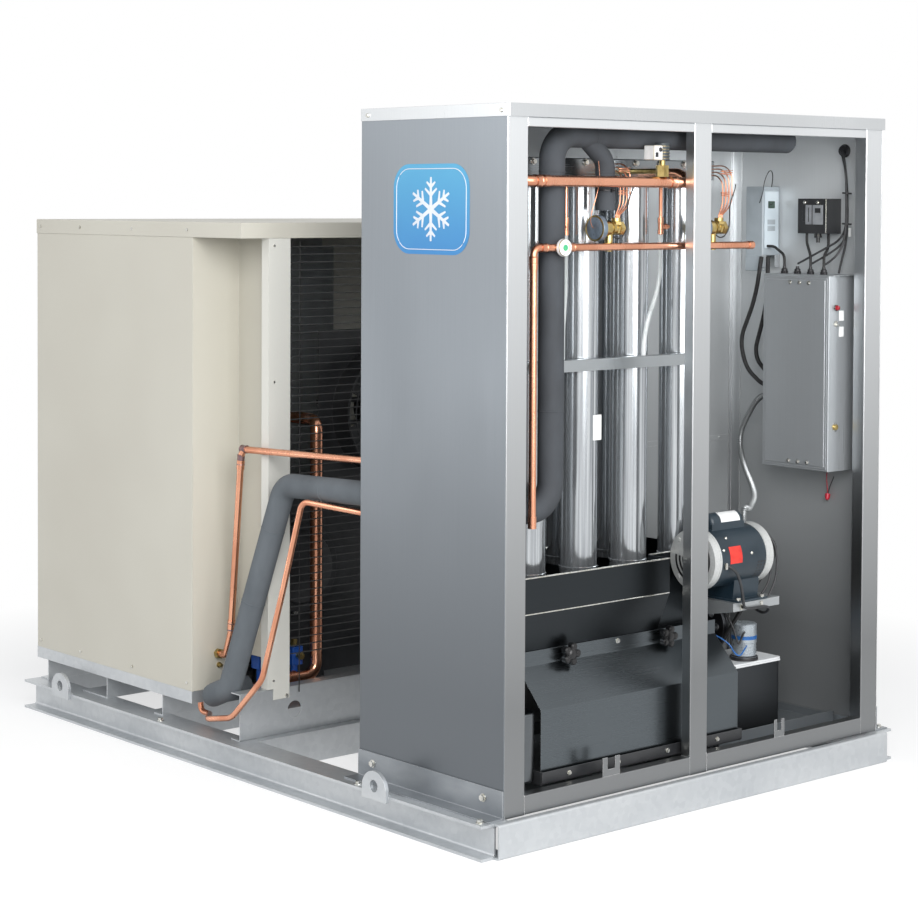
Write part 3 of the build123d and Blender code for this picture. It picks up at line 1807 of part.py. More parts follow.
with BuildPart() as copper_lines:
    line_end = recess_back - fit - sheet - fit
    stub_y = suction_valve[1] + 8
    rod(
        (recess_right - sheet, stub_y, stub_height),
        (suction_valve[0] - valve_stem - fit, stub_y, stub_height),
        suction_stub / 2,
    )
    pipe(
        (
            (suction_line_x, cab_back - 40, liquid_exit_height),
            (suction_line_x, cab_back + 60, liquid_exit_height),
            (suction_line_x - 6, 116, 1016),
            (suction_line_x - 4, 176, 412),
            (suction_line_x, 212, 330),
            (suction_line_x, line_end, 330),
        ),
        copper_line,
        [800, 34, 60, 20],
    )
    pipe(
        (
            (suction_line_x, cab_back - 40, hot_gas_exit_height),
            (suction_line_x, cab_back + 60, hot_gas_exit_height),
            (-795, -265, 890),
            (-832, -217, 612),
            (-862, -149, 324),
            (-867, 8, 177),
            (-867, 141, 150),
            (-790, 240, 138),
            (-790, 292, 138),
            (-790, 292, pan_bottom - fit),
        ),
        hot_gas_line,
        [300, 30, 300, 70, 90, 60, 30, 22],
    )
    for collar_z in (980, 452):
        share = (1016 - collar_z) / (1016 - 412)
        collar_y = 116 + share * 60
        rod(
            (suction_line_x - 6 + 2 * share, collar_y, collar_z),
            (suction_line_x - 6 + 2 * share + 0.1, collar_y + 3, collar_z - 30),
            copper_line / 2 + 2,
        )
write(copper_lines.part, "copper_lines")


# Fasteners

with BuildPart() as fasteners:
    down = (0, 0, 1)
    bolt_inset = beam_axis + 28
    for bolt_y in (cab_front + 22, cab_back - 82, 400):
        hex_bolt((-bolt_inset, bolt_y, deck), down)
    for bolt_y in (cab_front + 22, cab_back - 82):
        hex_bolt((bolt_inset - 4, bolt_y, deck + hold_down_thickness), down)
    hex_bolt((bolt_inset, 400, deck), down)
    for bolt_y in (cab_front + 80, cab_back - 70):
        hex_bolt((cab_left - fit - hold_down_thickness, bolt_y, deck + 48), (-1, 0, 0))
        hex_bolt((cab_right + fit + hold_down_thickness, bolt_y, deck + 48), (1, 0, 0))
    for bolt_y in (cab_front + 22, cab_back - 32):
        hex_bolt((lid_left, bolt_y, cab_top + lid_height * 0.45), (-1, 0, 0), 9, 3)
        hex_bolt((lid_right, bolt_y, cab_top + lid_height * 0.45), (1, 0, 0), 9, 3)
    for bolt_x in (-500, -300, -90, 130):
        hex_bolt((bolt_x, rail_y - 3, rail_bottom + 22), (0, -1, 0), 10, 4)
    for screw_z in (enclosure_bottom + 24, enclosure_top - 24):
        for screw_y in (0.3, 0.44, 0.58):
            hex_bolt(
                (enclosure_left, enclosure_front + enclosure_width * screw_y, screw_z),
                (-1, 0, 0),
                9,
                3,
            )
    for foot_y in (motor_y - half_foot + 12, motor_y + half_foot - 12):
        for bolt_x in (foot_x - 54, foot_x + 54):
            hex_bolt((bolt_x, foot_y, foot_top), down, 12, 5)
    hex_bolt((-194, hood_back - sheet, knob_height + 8), (0, -1, 0), 11, 4)
    for screw_x in (recess_right - 3, -recess_right + 3):
        hex_bolt((screw_x, unit_front - fit - sheet, panel_bottom + 8), (0, -1, 0), 9, 3)
write(fasteners.part, "fasteners")
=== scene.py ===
from math import cos, pi, radians, sin

import bmesh
import bpy
from mathutils import Matrix, Vector


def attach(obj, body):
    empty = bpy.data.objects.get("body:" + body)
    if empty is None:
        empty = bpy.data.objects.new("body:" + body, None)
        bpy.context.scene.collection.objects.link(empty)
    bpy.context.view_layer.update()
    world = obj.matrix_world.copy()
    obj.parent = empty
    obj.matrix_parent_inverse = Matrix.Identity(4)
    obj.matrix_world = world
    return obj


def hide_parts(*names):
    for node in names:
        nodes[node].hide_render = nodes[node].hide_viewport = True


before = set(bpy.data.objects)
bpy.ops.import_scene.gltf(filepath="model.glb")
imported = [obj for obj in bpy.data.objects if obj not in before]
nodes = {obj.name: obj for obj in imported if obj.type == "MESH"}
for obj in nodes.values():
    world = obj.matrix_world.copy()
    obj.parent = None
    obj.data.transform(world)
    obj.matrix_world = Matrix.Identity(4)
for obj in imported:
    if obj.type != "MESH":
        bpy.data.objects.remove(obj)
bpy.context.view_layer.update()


# Camera. It stands to the left of the open front, a little above the middle of the machine,
# and looks in past the mullion.
camera_place = Vector((-4.9586, -5.7792, 1.8223))
camera_yaw = radians(40.8847)
camera_pitch = radians(1.839)
camera_roll = radians(0.2741)

ahead = Vector((sin(camera_yaw) * cos(camera_pitch), cos(camera_yaw) * cos(camera_pitch), -sin(camera_pitch)))
level_right = Vector((cos(camera_yaw), -sin(camera_yaw), 0))
level_up = level_right.cross(ahead)
picture_right = cos(camera_roll) * level_right + sin(camera_roll) * level_up
picture_up = cos(camera_roll) * level_up - sin(camera_roll) * level_right

camera_data = bpy.data.cameras.new("camera")
camera_data.lens = 87.69
camera_data.sensor_width = 36
camera_data.shift_x = 0.00725
camera_data.shift_y = -0.2031
camera = bpy.data.objects.new("camera", camera_data)
bpy.context.scene.collection.objects.link(camera)
turned_axes = Matrix((picture_right, picture_up, -ahead)).transposed()
camera.matrix_world = Matrix.Translation(camera_place) @ turned_axes.to_4x4()
bpy.context.scene.camera = camera


# Skid. Two rolled wide-flange beams with coped cross members, hot-dip galvanised after
# welding: dull zinc with crystal spangle, cloudy runs and edges lightened as a painted highlight. Four
# lifting lugs are welded to the outer flange edges.
class Reading:
    """A value over a surface, as one output of a finish's nodes."""

    def __init__(self, finish, socket):
        self.finish = finish
        self.socket = socket

    def sum(self, operation, first, second):
        return self.finish.add("Math", {"operation": operation}, {0: first, 1: second})

    def __add__(self, other):
        return self.sum("ADD", self, other)

    def __radd__(self, other):
        return self.sum("ADD", other, self)

    def __sub__(self, other):
        return self.sum("SUBTRACT", self, other)

    def __rsub__(self, other):
        return self.sum("SUBTRACT", other, self)

    def __mul__(self, other):
        return self.sum("MULTIPLY", self, other)

    def __rmul__(self, other):
        return self.sum("MULTIPLY", other, self)

    def __gt__(self, other):
        return self.sum("GREATER_THAN", self, other)

    def __lt__(self, other):
        return self.sum("LESS_THAN", self, other)


def shade(red, green, blue):
    """A colour as the eye reads it, 0 to 255, for a shader socket."""
    return tuple(((part / 255 + 0.055) / 1.055) ** 2.4 for part in (red, green, blue)) + (1.0,)


class Finish:
    """One finish of this machine: a material with its shader and the nodes that feed it."""

    def __init__(self, name, colour, metallic=0.0, roughness=0.5):
        self.material = bpy.data.materials.new(name)
        self.material.use_nodes = True
        self.tree = self.material.node_tree
        self.shader = self.tree.nodes["Principled BSDF"]
        self.colour = colour
        self.feed(self.shader.inputs["Base Color"], colour)
        self.feed(self.shader.inputs["Metallic"], metallic)
        self.feed(self.shader.inputs["Roughness"], roughness)

    def feed(self, socket, value):
        if isinstance(value, Reading):
            self.tree.links.new(value.socket, socket)
        else:
            socket.default_value = value

    def add(self, kind, settings, sockets, output=0):
        """Adds a node: its settings first, then the values or links of its sockets."""
        node = self.tree.nodes.new("ShaderNode" + kind)
        for setting, value in settings.items():
            if setting == "stops":
                while len(node.color_ramp.elements) < len(value):
                    node.color_ramp.elements.new(0.5)
                for element, (position, grey) in zip(node.color_ramp.elements, value):
                    element.position = position
                    element.color = (grey, grey, grey, 1)
            else:
                setattr(node, setting, value)
        for socket, value in sockets.items():
            self.feed(node.inputs[socket], value)
        return Reading(self, node.outputs[output])

    def place(self, stretch=(1, 1, 1)):
        """The point on the piece in metres, stretched so that a grain runs along one axis."""
        point = self.add("TexCoord", {}, {}, "Object")
        return self.add("VectorMath", {"operation": "MULTIPLY"}, {0: point, 1: stretch})

    def height(self):
        return self.add("SeparateXYZ", {}, {0: self.place()}, "Z")

    def cloud(self, scale, stretch=(1, 1, 1), detail=3.0, stops=((0.3, 0.0), (0.7, 1.0))):
        """Soft patches between 0 and 1."""
        patches = self.add("TexNoise", {}, {"Vector": self.place(stretch), "Scale": scale, "Detail": detail})
        return self.add("ValToRGB", {"stops": stops}, {0: patches})

    def blend(self, mask, first, second):
        settings = {"data_type": "RGBA"}
        return self.add("Mix", settings, {0: mask, 6: first, 7: second}, 2)

    def soft_edge(self, radius_mm):
        return self.add("Bevel", {"samples": 3}, {"Radius": radius_mm / 1000})

    def painted_edge_highlight(self, radius_mm, strength=4.0):
        """1 along the edges of the sheet and 0 on its faces; finishes lighten their colour by it as a painted
        highlight.
        """
        own = self.add("NewGeometry", {}, {}, "Normal")
        settings = {"operation": "DOT_PRODUCT"}
        likeness = self.add("VectorMath", settings, {0: self.soft_edge(radius_mm), 1: own}, "Value")
        return self.add("Math", {"operation": "MULTIPLY", "use_clamp": True}, {0: 1 - likeness, 1: strength})

    def paint(self, colour):
        self.feed(self.shader.inputs["Base Color"], colour)

    def roughen(self, amount):
        self.feed(self.shader.inputs["Roughness"], amount)

    def emboss(self, height, depth_mm, edge_mm=None):
        sockets = {"Height": height, "Distance": depth_mm / 1000, "Strength": 1.0}
        if edge_mm:
            sockets["Normal"] = self.soft_edge(edge_mm)
        self.feed(self.shader.inputs["Normal"], self.add("Bump", {}, sockets))


def dress(finish, *names):
    """Gives solids of the frame their finish."""
    for name in names:
        mesh = nodes[name].data
        mesh.materials.clear()
        mesh.materials.append(finish.material)


def make_piece(name, shape, finish, body="machine", sharp=35):
    """Makes a piece of a shape drawn in millimetres and lets it ride on a body."""
    mesh = bpy.data.meshes.new(name)
    bmesh.ops.recalc_face_normals(shape, faces=shape.faces)
    shape.to_mesh(mesh)
    shape.free()
    mesh.transform(Matrix.Scale(0.001, 4))
    mesh.shade_smooth()
    mesh.set_sharp_from_angle(angle=radians(sharp))
    mesh.materials.append(finish.material)
    piece = bpy.data.objects.new(name, mesh)
    bpy.context.scene.collection.objects.link(piece)
    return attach(piece, body)


def tube_along(shape, points, radius, sides=8):
    """Adds a round bar through points, such as a weld bead or a moulded cord of sealant."""
    points = [Vector(point) for point in points]
    rings = []
    for index, point in enumerate(points):
        before = points[max(index - 1, 0)]
        after = points[min(index + 1, len(points) - 1)]
        axis = (after - before).normalized()
        across = axis.orthogonal().normalized()
        swell = radius(index) if callable(radius) else radius
        ring = []
        for step in range(sides):
            turn = Matrix.Rotation(2 * pi * step / sides, 3, axis)
            ring.append(shape.verts.new(point + (turn @ across) * swell))
        rings.append(ring)
    for lower, upper in zip(rings, rings[1:]):
        for step in range(sides):
            shape.faces.new((lower[step], lower[step - 1], upper[step - 1], upper[step]))
    shape.faces.new(rings[0])
    shape.faces.new(rings[-1])


galvanised = Finish("galvanised_beam", shade(196, 200, 203), 0.75, 0.42)
crystals = galvanised.add("TexVoronoi", {"feature": "F1"}, {"Vector": galvanised.place(), "Scale": 55.0}, "Color")
crystal_tone = galvanised.add("Math", {"operation": "MULTIPLY"}, {0: crystals, 1: 0.22})
runs = galvanised.cloud(3.0, (1, 1, 2.5), 5.0)
tarnish = galvanised.blend(crystal_tone + 0.35 * runs, shade(203, 206, 208), shade(160, 165, 170))
# Painted highlight: the beam edges are lightened in colour.
beam_edge_highlight = galvanised.painted_edge_highlight(1.6)
galvanised.paint(galvanised.blend(beam_edge_highlight, tarnish, shade(228, 230, 230)))
galvanised.roughen(0.36 + 0.16 * runs)
galvanised.emboss(crystals * 0.3 + runs, 0.25, 1.6)
dress(galvanised, "skid_beam_left", "skid_beam_right", "skid_cross_members")

lug_inner_face = 891.5
lug_half_width = 52
beads = bmesh.new()
for side in (-1, 1):
    for lug_y in (-764, 982):
        for bead_x, bead_z in ((lug_inner_face, 100.5), (898.6, 91)):
            run = [(side * bead_x, lug_y - lug_half_width + step * 4, bead_z) for step in range(27)]
            tube_along(beads, run, lambda index: 2.6 + 0.5 * sin(index * 2.1))
make_piece("lug_weld_beads", beads, galvanised)


# Cabinet. Posts, header and lid of folded stainless sheet with a fine vertical grain; the
# left side is one plain sheet of the same steel, painted darker as painted shade, with a faint cloudiness from rolling.
def stainless(name, colour, roughness, grain=(260, 260, 3), metallic=1.0, low_shade_share=1.0, edge_mm=1.8):
    """Stainless sheet: brushed along one way, cloudy at arm's length, with a painted highlight along its folds.

    Towards the deck the colour is painted darker, down to the given share near the floor: painted shade by height.
    """
    steel = Finish(name, colour, metallic, roughness)
    brushing = steel.cloud(1.0, grain, 4.0, ((0.25, 0.0), (0.75, 1.0)))
    rolling = steel.cloud(2.2, (1, 1, 0.6), 2.0)
    dull = tuple(part * 0.82 for part in colour[:3]) + (1.0,)
    body = steel.blend(0.2 * brushing + 0.5 * rolling, colour, dull)
    if low_shade_share < 1:
        # Painted shade: darker with falling height, fully so at 0.4 m and gone by 2 m.
        painted_shade_by_height = steel.add("Math", {"operation": "MULTIPLY_ADD", "use_clamp": True}, {0: steel.height(), 1: -0.62, 2: 1.25})
        body = steel.blend(painted_shade_by_height, body, tuple(part * low_shade_share for part in colour[:3]) + (1.0,))
    # Painted highlight: the colour is lightened along folds and edges.
    bright = tuple(min(part * 1.25 + 0.1, 0.95) for part in colour[:3]) + (1.0,)
    steel.paint(steel.blend(steel.painted_edge_highlight(edge_mm), body, bright))
    steel.roughen(roughness - 0.03 + 0.05 * brushing + 0.06 * rolling)
    steel.emboss(brushing, 0.012, edge_mm)
    return steel


frame_steel = stainless("stainless_frame", shade(234, 237, 239), 0.3, low_shade_share=0.3)
lid_steel = stainless("stainless_lid", shade(219, 222, 224), 0.28)
# Painted shade: the left side is a darker copy of the cabinet stainless.
side_steel_shaded = stainless("stainless_side_shaded", shade(150, 156, 162), 0.34, low_shade_share=0.5)
inner_steel = stainless("stainless_inside", shade(226, 230, 232), 0.3, metallic=0.35, low_shade_share=0.26)
# Painted shade: the floor pan is a darker copy of the stainless, for the shadow under the tank.
pan_steel_shaded = stainless("stainless_floor_shaded", shade(140, 145, 149), 0.34, metallic=0.7)
dress(frame_steel, "cabinet_frame")
dress(lid_steel, "cabinet_lid")
dress(side_steel_shaded, "left_panel")
dress(inner_steel, "back_panel", "right_panel")
dress(pan_steel_shaded, "floor_pan")


def slab(shape, low, high, rounding=0.6):
    """Adds a plate with softened edges between two corners."""
    low = Vector(low)
    size = Vector(high) - low
    corners = bmesh.ops.create_cube(shape, size=1)["verts"]
    for corner in corners:
        corner.co = low + Vector(((corner.co[axis] + 0.5) * size[axis] for axis in range(3)))
    edges = {edge for corner in corners for edge in corner.link_edges}
    bmesh.ops.bevel(shape, geom=list(edges), offset=rounding, segments=2, affect="EDGES")


def turned(shape, start, direction, outline, sides=32):
    """Adds a turned form: outline holds pairs of distance along the axis and radius."""
    axis = Vector(direction).normalized()
    across = axis.orthogonal().normalized()
    rings = []
    for along, radius in outline:
        ring = []
        for step in range(sides):
            turn = Matrix.Rotation(2 * pi * step / sides, 3, axis)
            ring.append(shape.verts.new(Vector(start) + axis * along + (turn @ across) * radius))
        rings.append(ring)
    for lower, upper in zip(rings, rings[1:]):
        for step in range(sides):
            shape.faces.new((lower[step - 1], lower[step], upper[step], upper[step - 1]))
    shape.faces.new(rings[0])
    shape.faces.new(rings[-1])


rivet_head = ((0, 4.5), (1.0, 4.4), (2.0, 3.2), (2.5, 1.2))
seam_back = -571.2
seams = bmesh.new()
for seam_x in (262, 604):
    slab(seams, (seam_x - 9, seam_back - 1.6, 140), (seam_x + 9, seam_back, 2040))
    for rivet in range(12):
        turned(seams, (seam_x, seam_back - 1.6, 210 + rivet * 160), (0, -1, 0), rivet_head, 12)
slab(seams, (262, seam_back - 1.6, 1003), (824, seam_back, 1021))
for rivet in range(4):
    turned(seams, (320 + rivet * 150, seam_back - 1.6, 1012), (0, -1, 0), rivet_head, 12)
make_piece("back_panel_seams", seams, inner_steel)

post_screws = bmesh.new()
pan_head = ((0, 5.0), (1.2, 5.0), (2.4, 4.0), (3.0, 2.2), (2.4, 1.4))
for screw_z in (170, 620, 1080, 1540, 1990):
    turned(post_screws, (23, -1196, screw_z), (1, 0, 0), pan_head, 14)
    turned(post_screws, (-727, -1190, screw_z), (1, 0, 0), pan_head, 14)
hold_down_zinc = Finish("galvanised_angle", shade(150, 154, 158), 0.75, 0.44)
angle_runs = hold_down_zinc.cloud(5.0, (1, 1, 2.5), 5.0)
# Painted highlight: the angle's edges are lightened in colour.
hold_down_zinc.paint(
    hold_down_zinc.blend(
        hold_down_zinc.painted_edge_highlight(1.4),
        hold_down_zinc.blend(angle_runs, shade(158, 162, 166), shade(130, 135, 140)),
        shade(206, 208, 209),
    )
)
hold_down_zinc.emboss(angle_runs, 0.2, 1.4)
dress(hold_down_zinc, "hold_down_angles")
zinc = Finish("zinc_plated", shade(214, 214, 210), 1.0, 0.24)
zinc.paint(zinc.blend(zinc.cloud(90.0), shade(222, 222, 220), shade(186, 184, 172)))
zinc.roughen(0.18 + 0.16 * zinc.cloud(160.0))
make_piece("frame_screws", post_screws, zinc)
dress(zinc, "fasteners", "toggle_lever")


# Emblem on the left side. A printed blue vinyl plate with a plain white ice crystal of six
# branched arms inside a thin rim line, pressed on flat.
emblem_middle = Vector((-807.2, -889, 1798))
emblem_half_width = 168
emblem_half_height = 130
emblem_corner = 70


def rounded_field(shape, middle, half_width, half_height, corner, thickness):
    """Adds a flat plate with round corners on the left panel."""
    rim = []
    for centre_y, centre_z, first in ((1, 1, 0), (-1, 1, 90), (-1, -1, 180), (1, -1, 270)):
        for step in range(11):
            angle = radians(first + step * 9)
            offset_y = centre_y * (half_width - corner) + corner * cos(angle)
            offset_z = centre_z * (half_height - corner) + corner * sin(angle)
            rim.append(shape.verts.new(middle + Vector((0, offset_y, offset_z))))
    face = shape.faces.new(rim)
    raised = bmesh.ops.extrude_face_region(shape, geom=[face])["geom"]
    for vert in (item for item in raised if isinstance(item, bmesh.types.BMVert)):
        vert.co.x -= thickness


vinyl_blue = Finish("vinyl_blue", shade(62, 140, 196), 0.0, 0.34)
# The blue is lighter towards the top of the plate and darker towards the bottom.
lighter_towards_top = vinyl_blue.add("Math", {"operation": "SUBTRACT", "use_clamp": True}, {0: vinyl_blue.height() * 3.6, 1: 5.95})
vinyl_tone = vinyl_blue.blend(lighter_towards_top, shade(52, 126, 190), shade(88, 168, 206))
vinyl_blue.paint(vinyl_blue.blend(0.25 * vinyl_blue.cloud(9.0), vinyl_tone, shade(70, 150, 200)))
vinyl_blue.emboss(vinyl_blue.cloud(400.0), 0.02)
vinyl_white = Finish("vinyl_white", shade(226, 229, 233), 0.0, 0.36)
vinyl_white.paint(vinyl_white.blend(vinyl_white.cloud(14.0), shade(229, 232, 236), shade(214, 219, 226)))
vinyl_white.emboss(vinyl_white.cloud(400.0), 0.02)

field = bmesh.new()
rounded_field(field, emblem_middle, emblem_half_width, emblem_half_height, emblem_corner, 0.5)
make_piece("emblem_field", field, vinyl_blue)

crystal = bmesh.new()
arm_length = 92
stroke_lift = 0.75
for arm in range(6):
    turn = Matrix.Rotation(radians(60 * arm), 3, "X")
    strokes = [((0, 0), (0, arm_length), 6.5)]
    for reach, twig in ((40, 26), (64, 19)):
        for lean in (-1, 1):
            strokes.append(((0, reach), (lean * twig, reach + twig * 0.75), 5))
    for start, end, half in strokes:
        start = Vector((0, *start))
        end = Vector((0, *end))
        aside = (end - start).cross(Vector((1, 0, 0))).normalized() * half
        corners = [start - aside, start + aside, end + aside * 0.55, end - aside * 0.55]
        lift = Vector((-stroke_lift, 0, 0))
        stroke_lift += 0.015
        shape_low = [crystal.verts.new(emblem_middle + turn @ corner) for corner in corners]
        shape_high = [crystal.verts.new(emblem_middle + turn @ corner + lift) for corner in corners]
        crystal.faces.new(shape_low)
        crystal.faces.new(shape_high)
        for step in range(4):
            crystal.faces.new((shape_low[step], shape_low[step - 1], shape_high[step - 1], shape_high[step]))
make_piece("emblem_crystal", crystal, vinyl_white)

rim_line = bmesh.new()
rim_points = []
for centre_y, centre_z, first in ((1, 1, 0), (-1, 1, 90), (-1, -1, 180), (1, -1, 270)):
    for step in range(11):
        angle = radians(first + step * 9)
        inset = emblem_corner - 14
        rim_y = centre_y * (emblem_half_width - emblem_corner) + inset * cos(angle)
        rim_z = centre_z * (emblem_half_height - emblem_corner) + inset * sin(angle)
        rim_points.append(emblem_middle + Vector((-0.5, rim_y, rim_z)))
tube_along(rim_line, rim_points + rim_points[:1], 1.3, 6)
make_piece("emblem_rim_line", rim_line, vinyl_white)


# Freezing tubes. Eight upright drawn stainless tubes, polished, each with a weld ring under
# the distributor; the light and dark streaks painted down their length are painted reflections, and their bump is the
# grain of the drawing.
tube_steel = Finish("polished_tube", shade(226, 229, 231), 0.85, 0.2)
drawing_and_reflection_streaks = tube_steel.cloud(1.0, (130, 130, 1.2), 3.0)
water_marks = tube_steel.cloud(7.0, (1, 1, 0.35), 4.0, ((0.45, 0.0), (0.7, 1.0)))
# Painted reflections: light and dark streaks run down the tubes.
tube_steel.paint(tube_steel.blend(0.9 * drawing_and_reflection_streaks, shade(214, 218, 221), shade(128, 133, 138)))
tube_steel.roughen(0.1 + 0.08 * drawing_and_reflection_streaks + 0.08 * water_marks)
tube_steel.emboss(drawing_and_reflection_streaks, 0.1)
dress(tube_steel, "evaporator_tubes")
box_steel = stainless("stainless_distributor", shade(140, 145, 148), 0.24, (3, 260, 260))
bar_steel = stainless("stainless_cross_bar", shade(176, 181, 184), 0.32, (3, 260, 260))
dress(box_steel, "water_distributor")
dress(bar_steel, "tube_cross_bar")

front_tubes = [(-479 + pitch * 213, -945) for pitch in range(4)]
rear_tubes = [(x - 106.5, -765) for x, y in front_tubes]
rings = bmesh.new()
for tube_x, tube_y in front_tubes + rear_tubes:
    turned(rings, (tube_x, tube_y, 1876), (0, 0, 1), ((0, 57.2), (3, 60.5), (10, 61.5), (13.8, 61.5)), 40)
    turned(rings, (tube_x, tube_y, 716), (0, 0, 1), ((0, 57.2), (2, 59.6), (8, 59.6), (10, 57.2)), 40)
make_piece("tube_weld_rings", rings, tube_steel)

hexagon = ((0, 8.5), (6, 8.5), (7, 7.6))
studs = bmesh.new()
for stud in range(9):
    stud_x = -640 + stud * 106
    turned(studs, (stud_x, -1024.4, 1938), (0, -1, 0), ((0, 10), (1.5, 10)), 20)
    turned(studs, (stud_x, -1025.9, 1938), (0, -1, 0), hexagon, 6)
for clip_x in (-540, 130):
    turned(studs, (clip_x, -1024.4, 1337), (0, -1, 0), hexagon, 6)
make_piece("distributor_studs", studs, zinc)

tag = bmesh.new()
slab(tag, (-262, -1003.6, 1106), (-228, -1001.6, 1182), 0.4)
white_plate = Finish("white_plate", shade(232, 233, 232), 0.0, 0.4)
white_plate.paint(white_plate.blend(white_plate.cloud(30.0), shade(236, 237, 236), shade(216, 217, 216)))
white_plate.emboss(white_plate.cloud(300.0), 0.04)
make_piece("tube_tag", tag, white_plate)


# Insulated suction pipe. Closed-cell foam sleeves, charcoal, glued edge to edge: matt with a
# faint mottle, a slightly proud glue line at each joint and a tie round the branch.
def foam(name, dark, light):
    """Closed-cell foam with a matt, slightly blotched skin."""
    sleeve = Finish(name, dark, 0.0, 0.82)
    blotches = sleeve.cloud(11.0, (1, 1, 0.5), 4.0)
    cells = sleeve.cloud(520.0, detail=2.0)
    sleeve.paint(sleeve.blend(blotches, dark, light))
    sleeve.roughen(0.74 + 0.14 * blotches)
    sleeve.emboss(cells * 0.35 + blotches * 1.6, 0.5)
    return sleeve


# Painted shade: the same foam as outside, darker inside the cabinet.
shaded_inner_foam = foam("foam_inside_shaded", shade(48, 51, 55), shade(66, 70, 75))
outer_foam = foam("foam_outside", shade(86, 92, 97), shade(104, 110, 115))
dress(shaded_inner_foam, "suction_header")
dress(outer_foam, "suction_line")

foam_joint = ((0, 38.05), (1.2, 38.9), (3.4, 38.9), (4.6, 38.05))
inner_joints = bmesh.new()
for joint_x in (-380, 60):
    turned(inner_joints, (joint_x, -1100, 2016), (1, 0, 0), foam_joint, 40)
for joint_z in (1905, 1215):
    turned(inner_joints, (-530, -1100, joint_z), (0, 0, 1), foam_joint, 40)
turned(inner_joints, (-315, -1100, 1905), (0, 0, 1), ((0, 29), (1, 29.8), (3, 29.8), (4, 29)), 36)
make_piece("foam_joints_inside", inner_joints, shaded_inner_foam)

line_start = Vector((-747, -112, 922))
line_end = Vector((-815, 90, 252))
line_way = (line_end - line_start).normalized()
outer_joints = bmesh.new()
for along in (150, 400):
    turned(outer_joints, line_start + line_way * along, line_way, foam_joint, 40)
turned(outer_joints, (-747, -330, 927.5), (0, 1, -0.0144), foam_joint, 40)
make_piece("foam_joints_outside", outer_joints, outer_foam)

black_nylon = Finish("black_nylon", shade(26, 26, 28), 0.0, 0.4)
black_nylon.paint(black_nylon.blend(black_nylon.cloud(60.0), shade(22, 22, 24), shade(40, 40, 43)))
black_nylon.roughen(0.34 + 0.16 * black_nylon.cloud(120.0))
black_nylon.emboss(black_nylon.cloud(700.0), 0.04)
tie = bmesh.new()
turned(tie, (-315, -1100, 1852), (0, 0, 1), ((0, 29.1), (0.8, 30.4), (5.2, 30.4), (6, 29.1)), 40)
slab(tie, (-322, -1135, 1849), (-312, -1129, 1859), 1.0)
slab(tie, (-318.5, -1146, 1852.5), (-315.5, -1133, 1855), 0.5)
make_piece("branch_tie", tie, black_nylon)


# Copper pipework. Drawn copper brazed with short sleeves, warm and mostly clean, browner
# near the joints where the torch passed; the brazed collars keep a grey-violet bloom.
copper = Finish("drawn_copper", shade(222, 158, 126), 1.0, 0.26)
torch = copper.cloud(9.0, (1, 1, 0.7), 4.0, ((0.42, 0.0), (0.72, 1.0)))
drawing = copper.cloud(1.0, (160, 160, 30), 2.0)
copper.paint(copper.blend(torch * 0.7, shade(230, 168, 138), shade(176, 106, 76)))
copper.roughen(0.2 + 0.16 * torch + 0.06 * drawing)
copper.emboss(drawing, 0.03)
bloom = Finish("brazed_copper", shade(128, 104, 106), 0.8, 0.42)
bloom_patches = bloom.cloud(60.0)
bloom.paint(bloom.blend(bloom_patches, shade(142, 112, 108), shade(100, 90, 100)))
bloom.roughen(0.34 + 0.2 * bloom_patches)
bloom.emboss(bloom_patches, 0.1)
dress(copper, "copper_manifolds", "distributor_tubes", "copper_lines", "compressor_pipes")


def sleeve(shape, centre, direction, radius, length):
    """Adds a brazed sleeve: a thin collar with a rolled lip at both ends."""
    start = Vector(centre) - Vector(direction).normalized() * length / 2
    lip = radius + 2.4
    outline = ((0, radius), (0.6, lip), (3, lip - 0.3), (4, lip - 1.1), (length - 4, lip - 1.1))
    turned(shape, start, direction, outline + ((length - 3, lip - 0.3), (length - 0.6, lip), (length, radius)), 28)


sleeves = bmesh.new()
sleeve(sleeves, (-610, -1150, 1690), (1, 0, 0), 11, 22)
sleeve(sleeves, (-505, -1150, 1690), (1, 0, 0), 11, 26)
sleeve(sleeves, (-647, -1150, 1654), (0, 0, 1), 11.6, 24)
sleeve(sleeves, (-640, -1156, 1880), (1, 0, 0), 16, 22)
sleeve(sleeves, (-90, -1156, 1880), (1, 0, 0), 16, 26)
make_piece("manifold_sleeves", sleeves, copper)

brazed = bmesh.new()
sleeve(brazed, (-752.6, 100, 1017.6), (0.02, 1, -0.02), 11, 28)
sleeve(brazed, (-752.9, 119.4, 982), (0, 0.1, -1), 11, 34)
sleeve(brazed, (-751, 174.2, 430), (0, 0.1, -1), 11, 26)
make_piece("line_elbow_sleeves", brazed, bloom)


def strand(name, points, diameter, finish, body="machine"):
    """Lays a thin tube or wire through given points, as one smooth curve."""
    line = bpy.data.curves.new(name, "CURVE")
    line.dimensions = "3D"
    line.bevel_depth = diameter / 2000
    line.bevel_resolution = 3
    line.resolution_u = 6
    line.use_fill_caps = True
    spline = line.splines.new("NURBS")
    spline.points.add(len(points) - 1)
    for knot, point in zip(spline.points, points):
        knot.co = (point[0] / 1000, point[1] / 1000, point[2] / 1000, 1)
    spline.order_u = 3
    spline.use_endpoint_u = True
    line.materials.append(finish.material)
    piece = bpy.data.objects.new(name, line)
    bpy.context.scene.collection.objects.link(piece)
    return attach(piece, body)


for loop, (loop_x, loop_z, reach) in enumerate(((-268, 1842, 17), (-262, 1908, 25), (178, 1840, 17), (184, 1906, 25))):
    turns = []
    for step in range(17):
        angle = step * pi / 4
        wander = reach + 3 * sin(step * 1.7)
        turns.append((loop_x + wander * cos(angle), -1126 + 9 * sin(angle), loop_z + step * 0.9))
    strand(f"strand_tie_{loop}", turns, 2.6, copper)


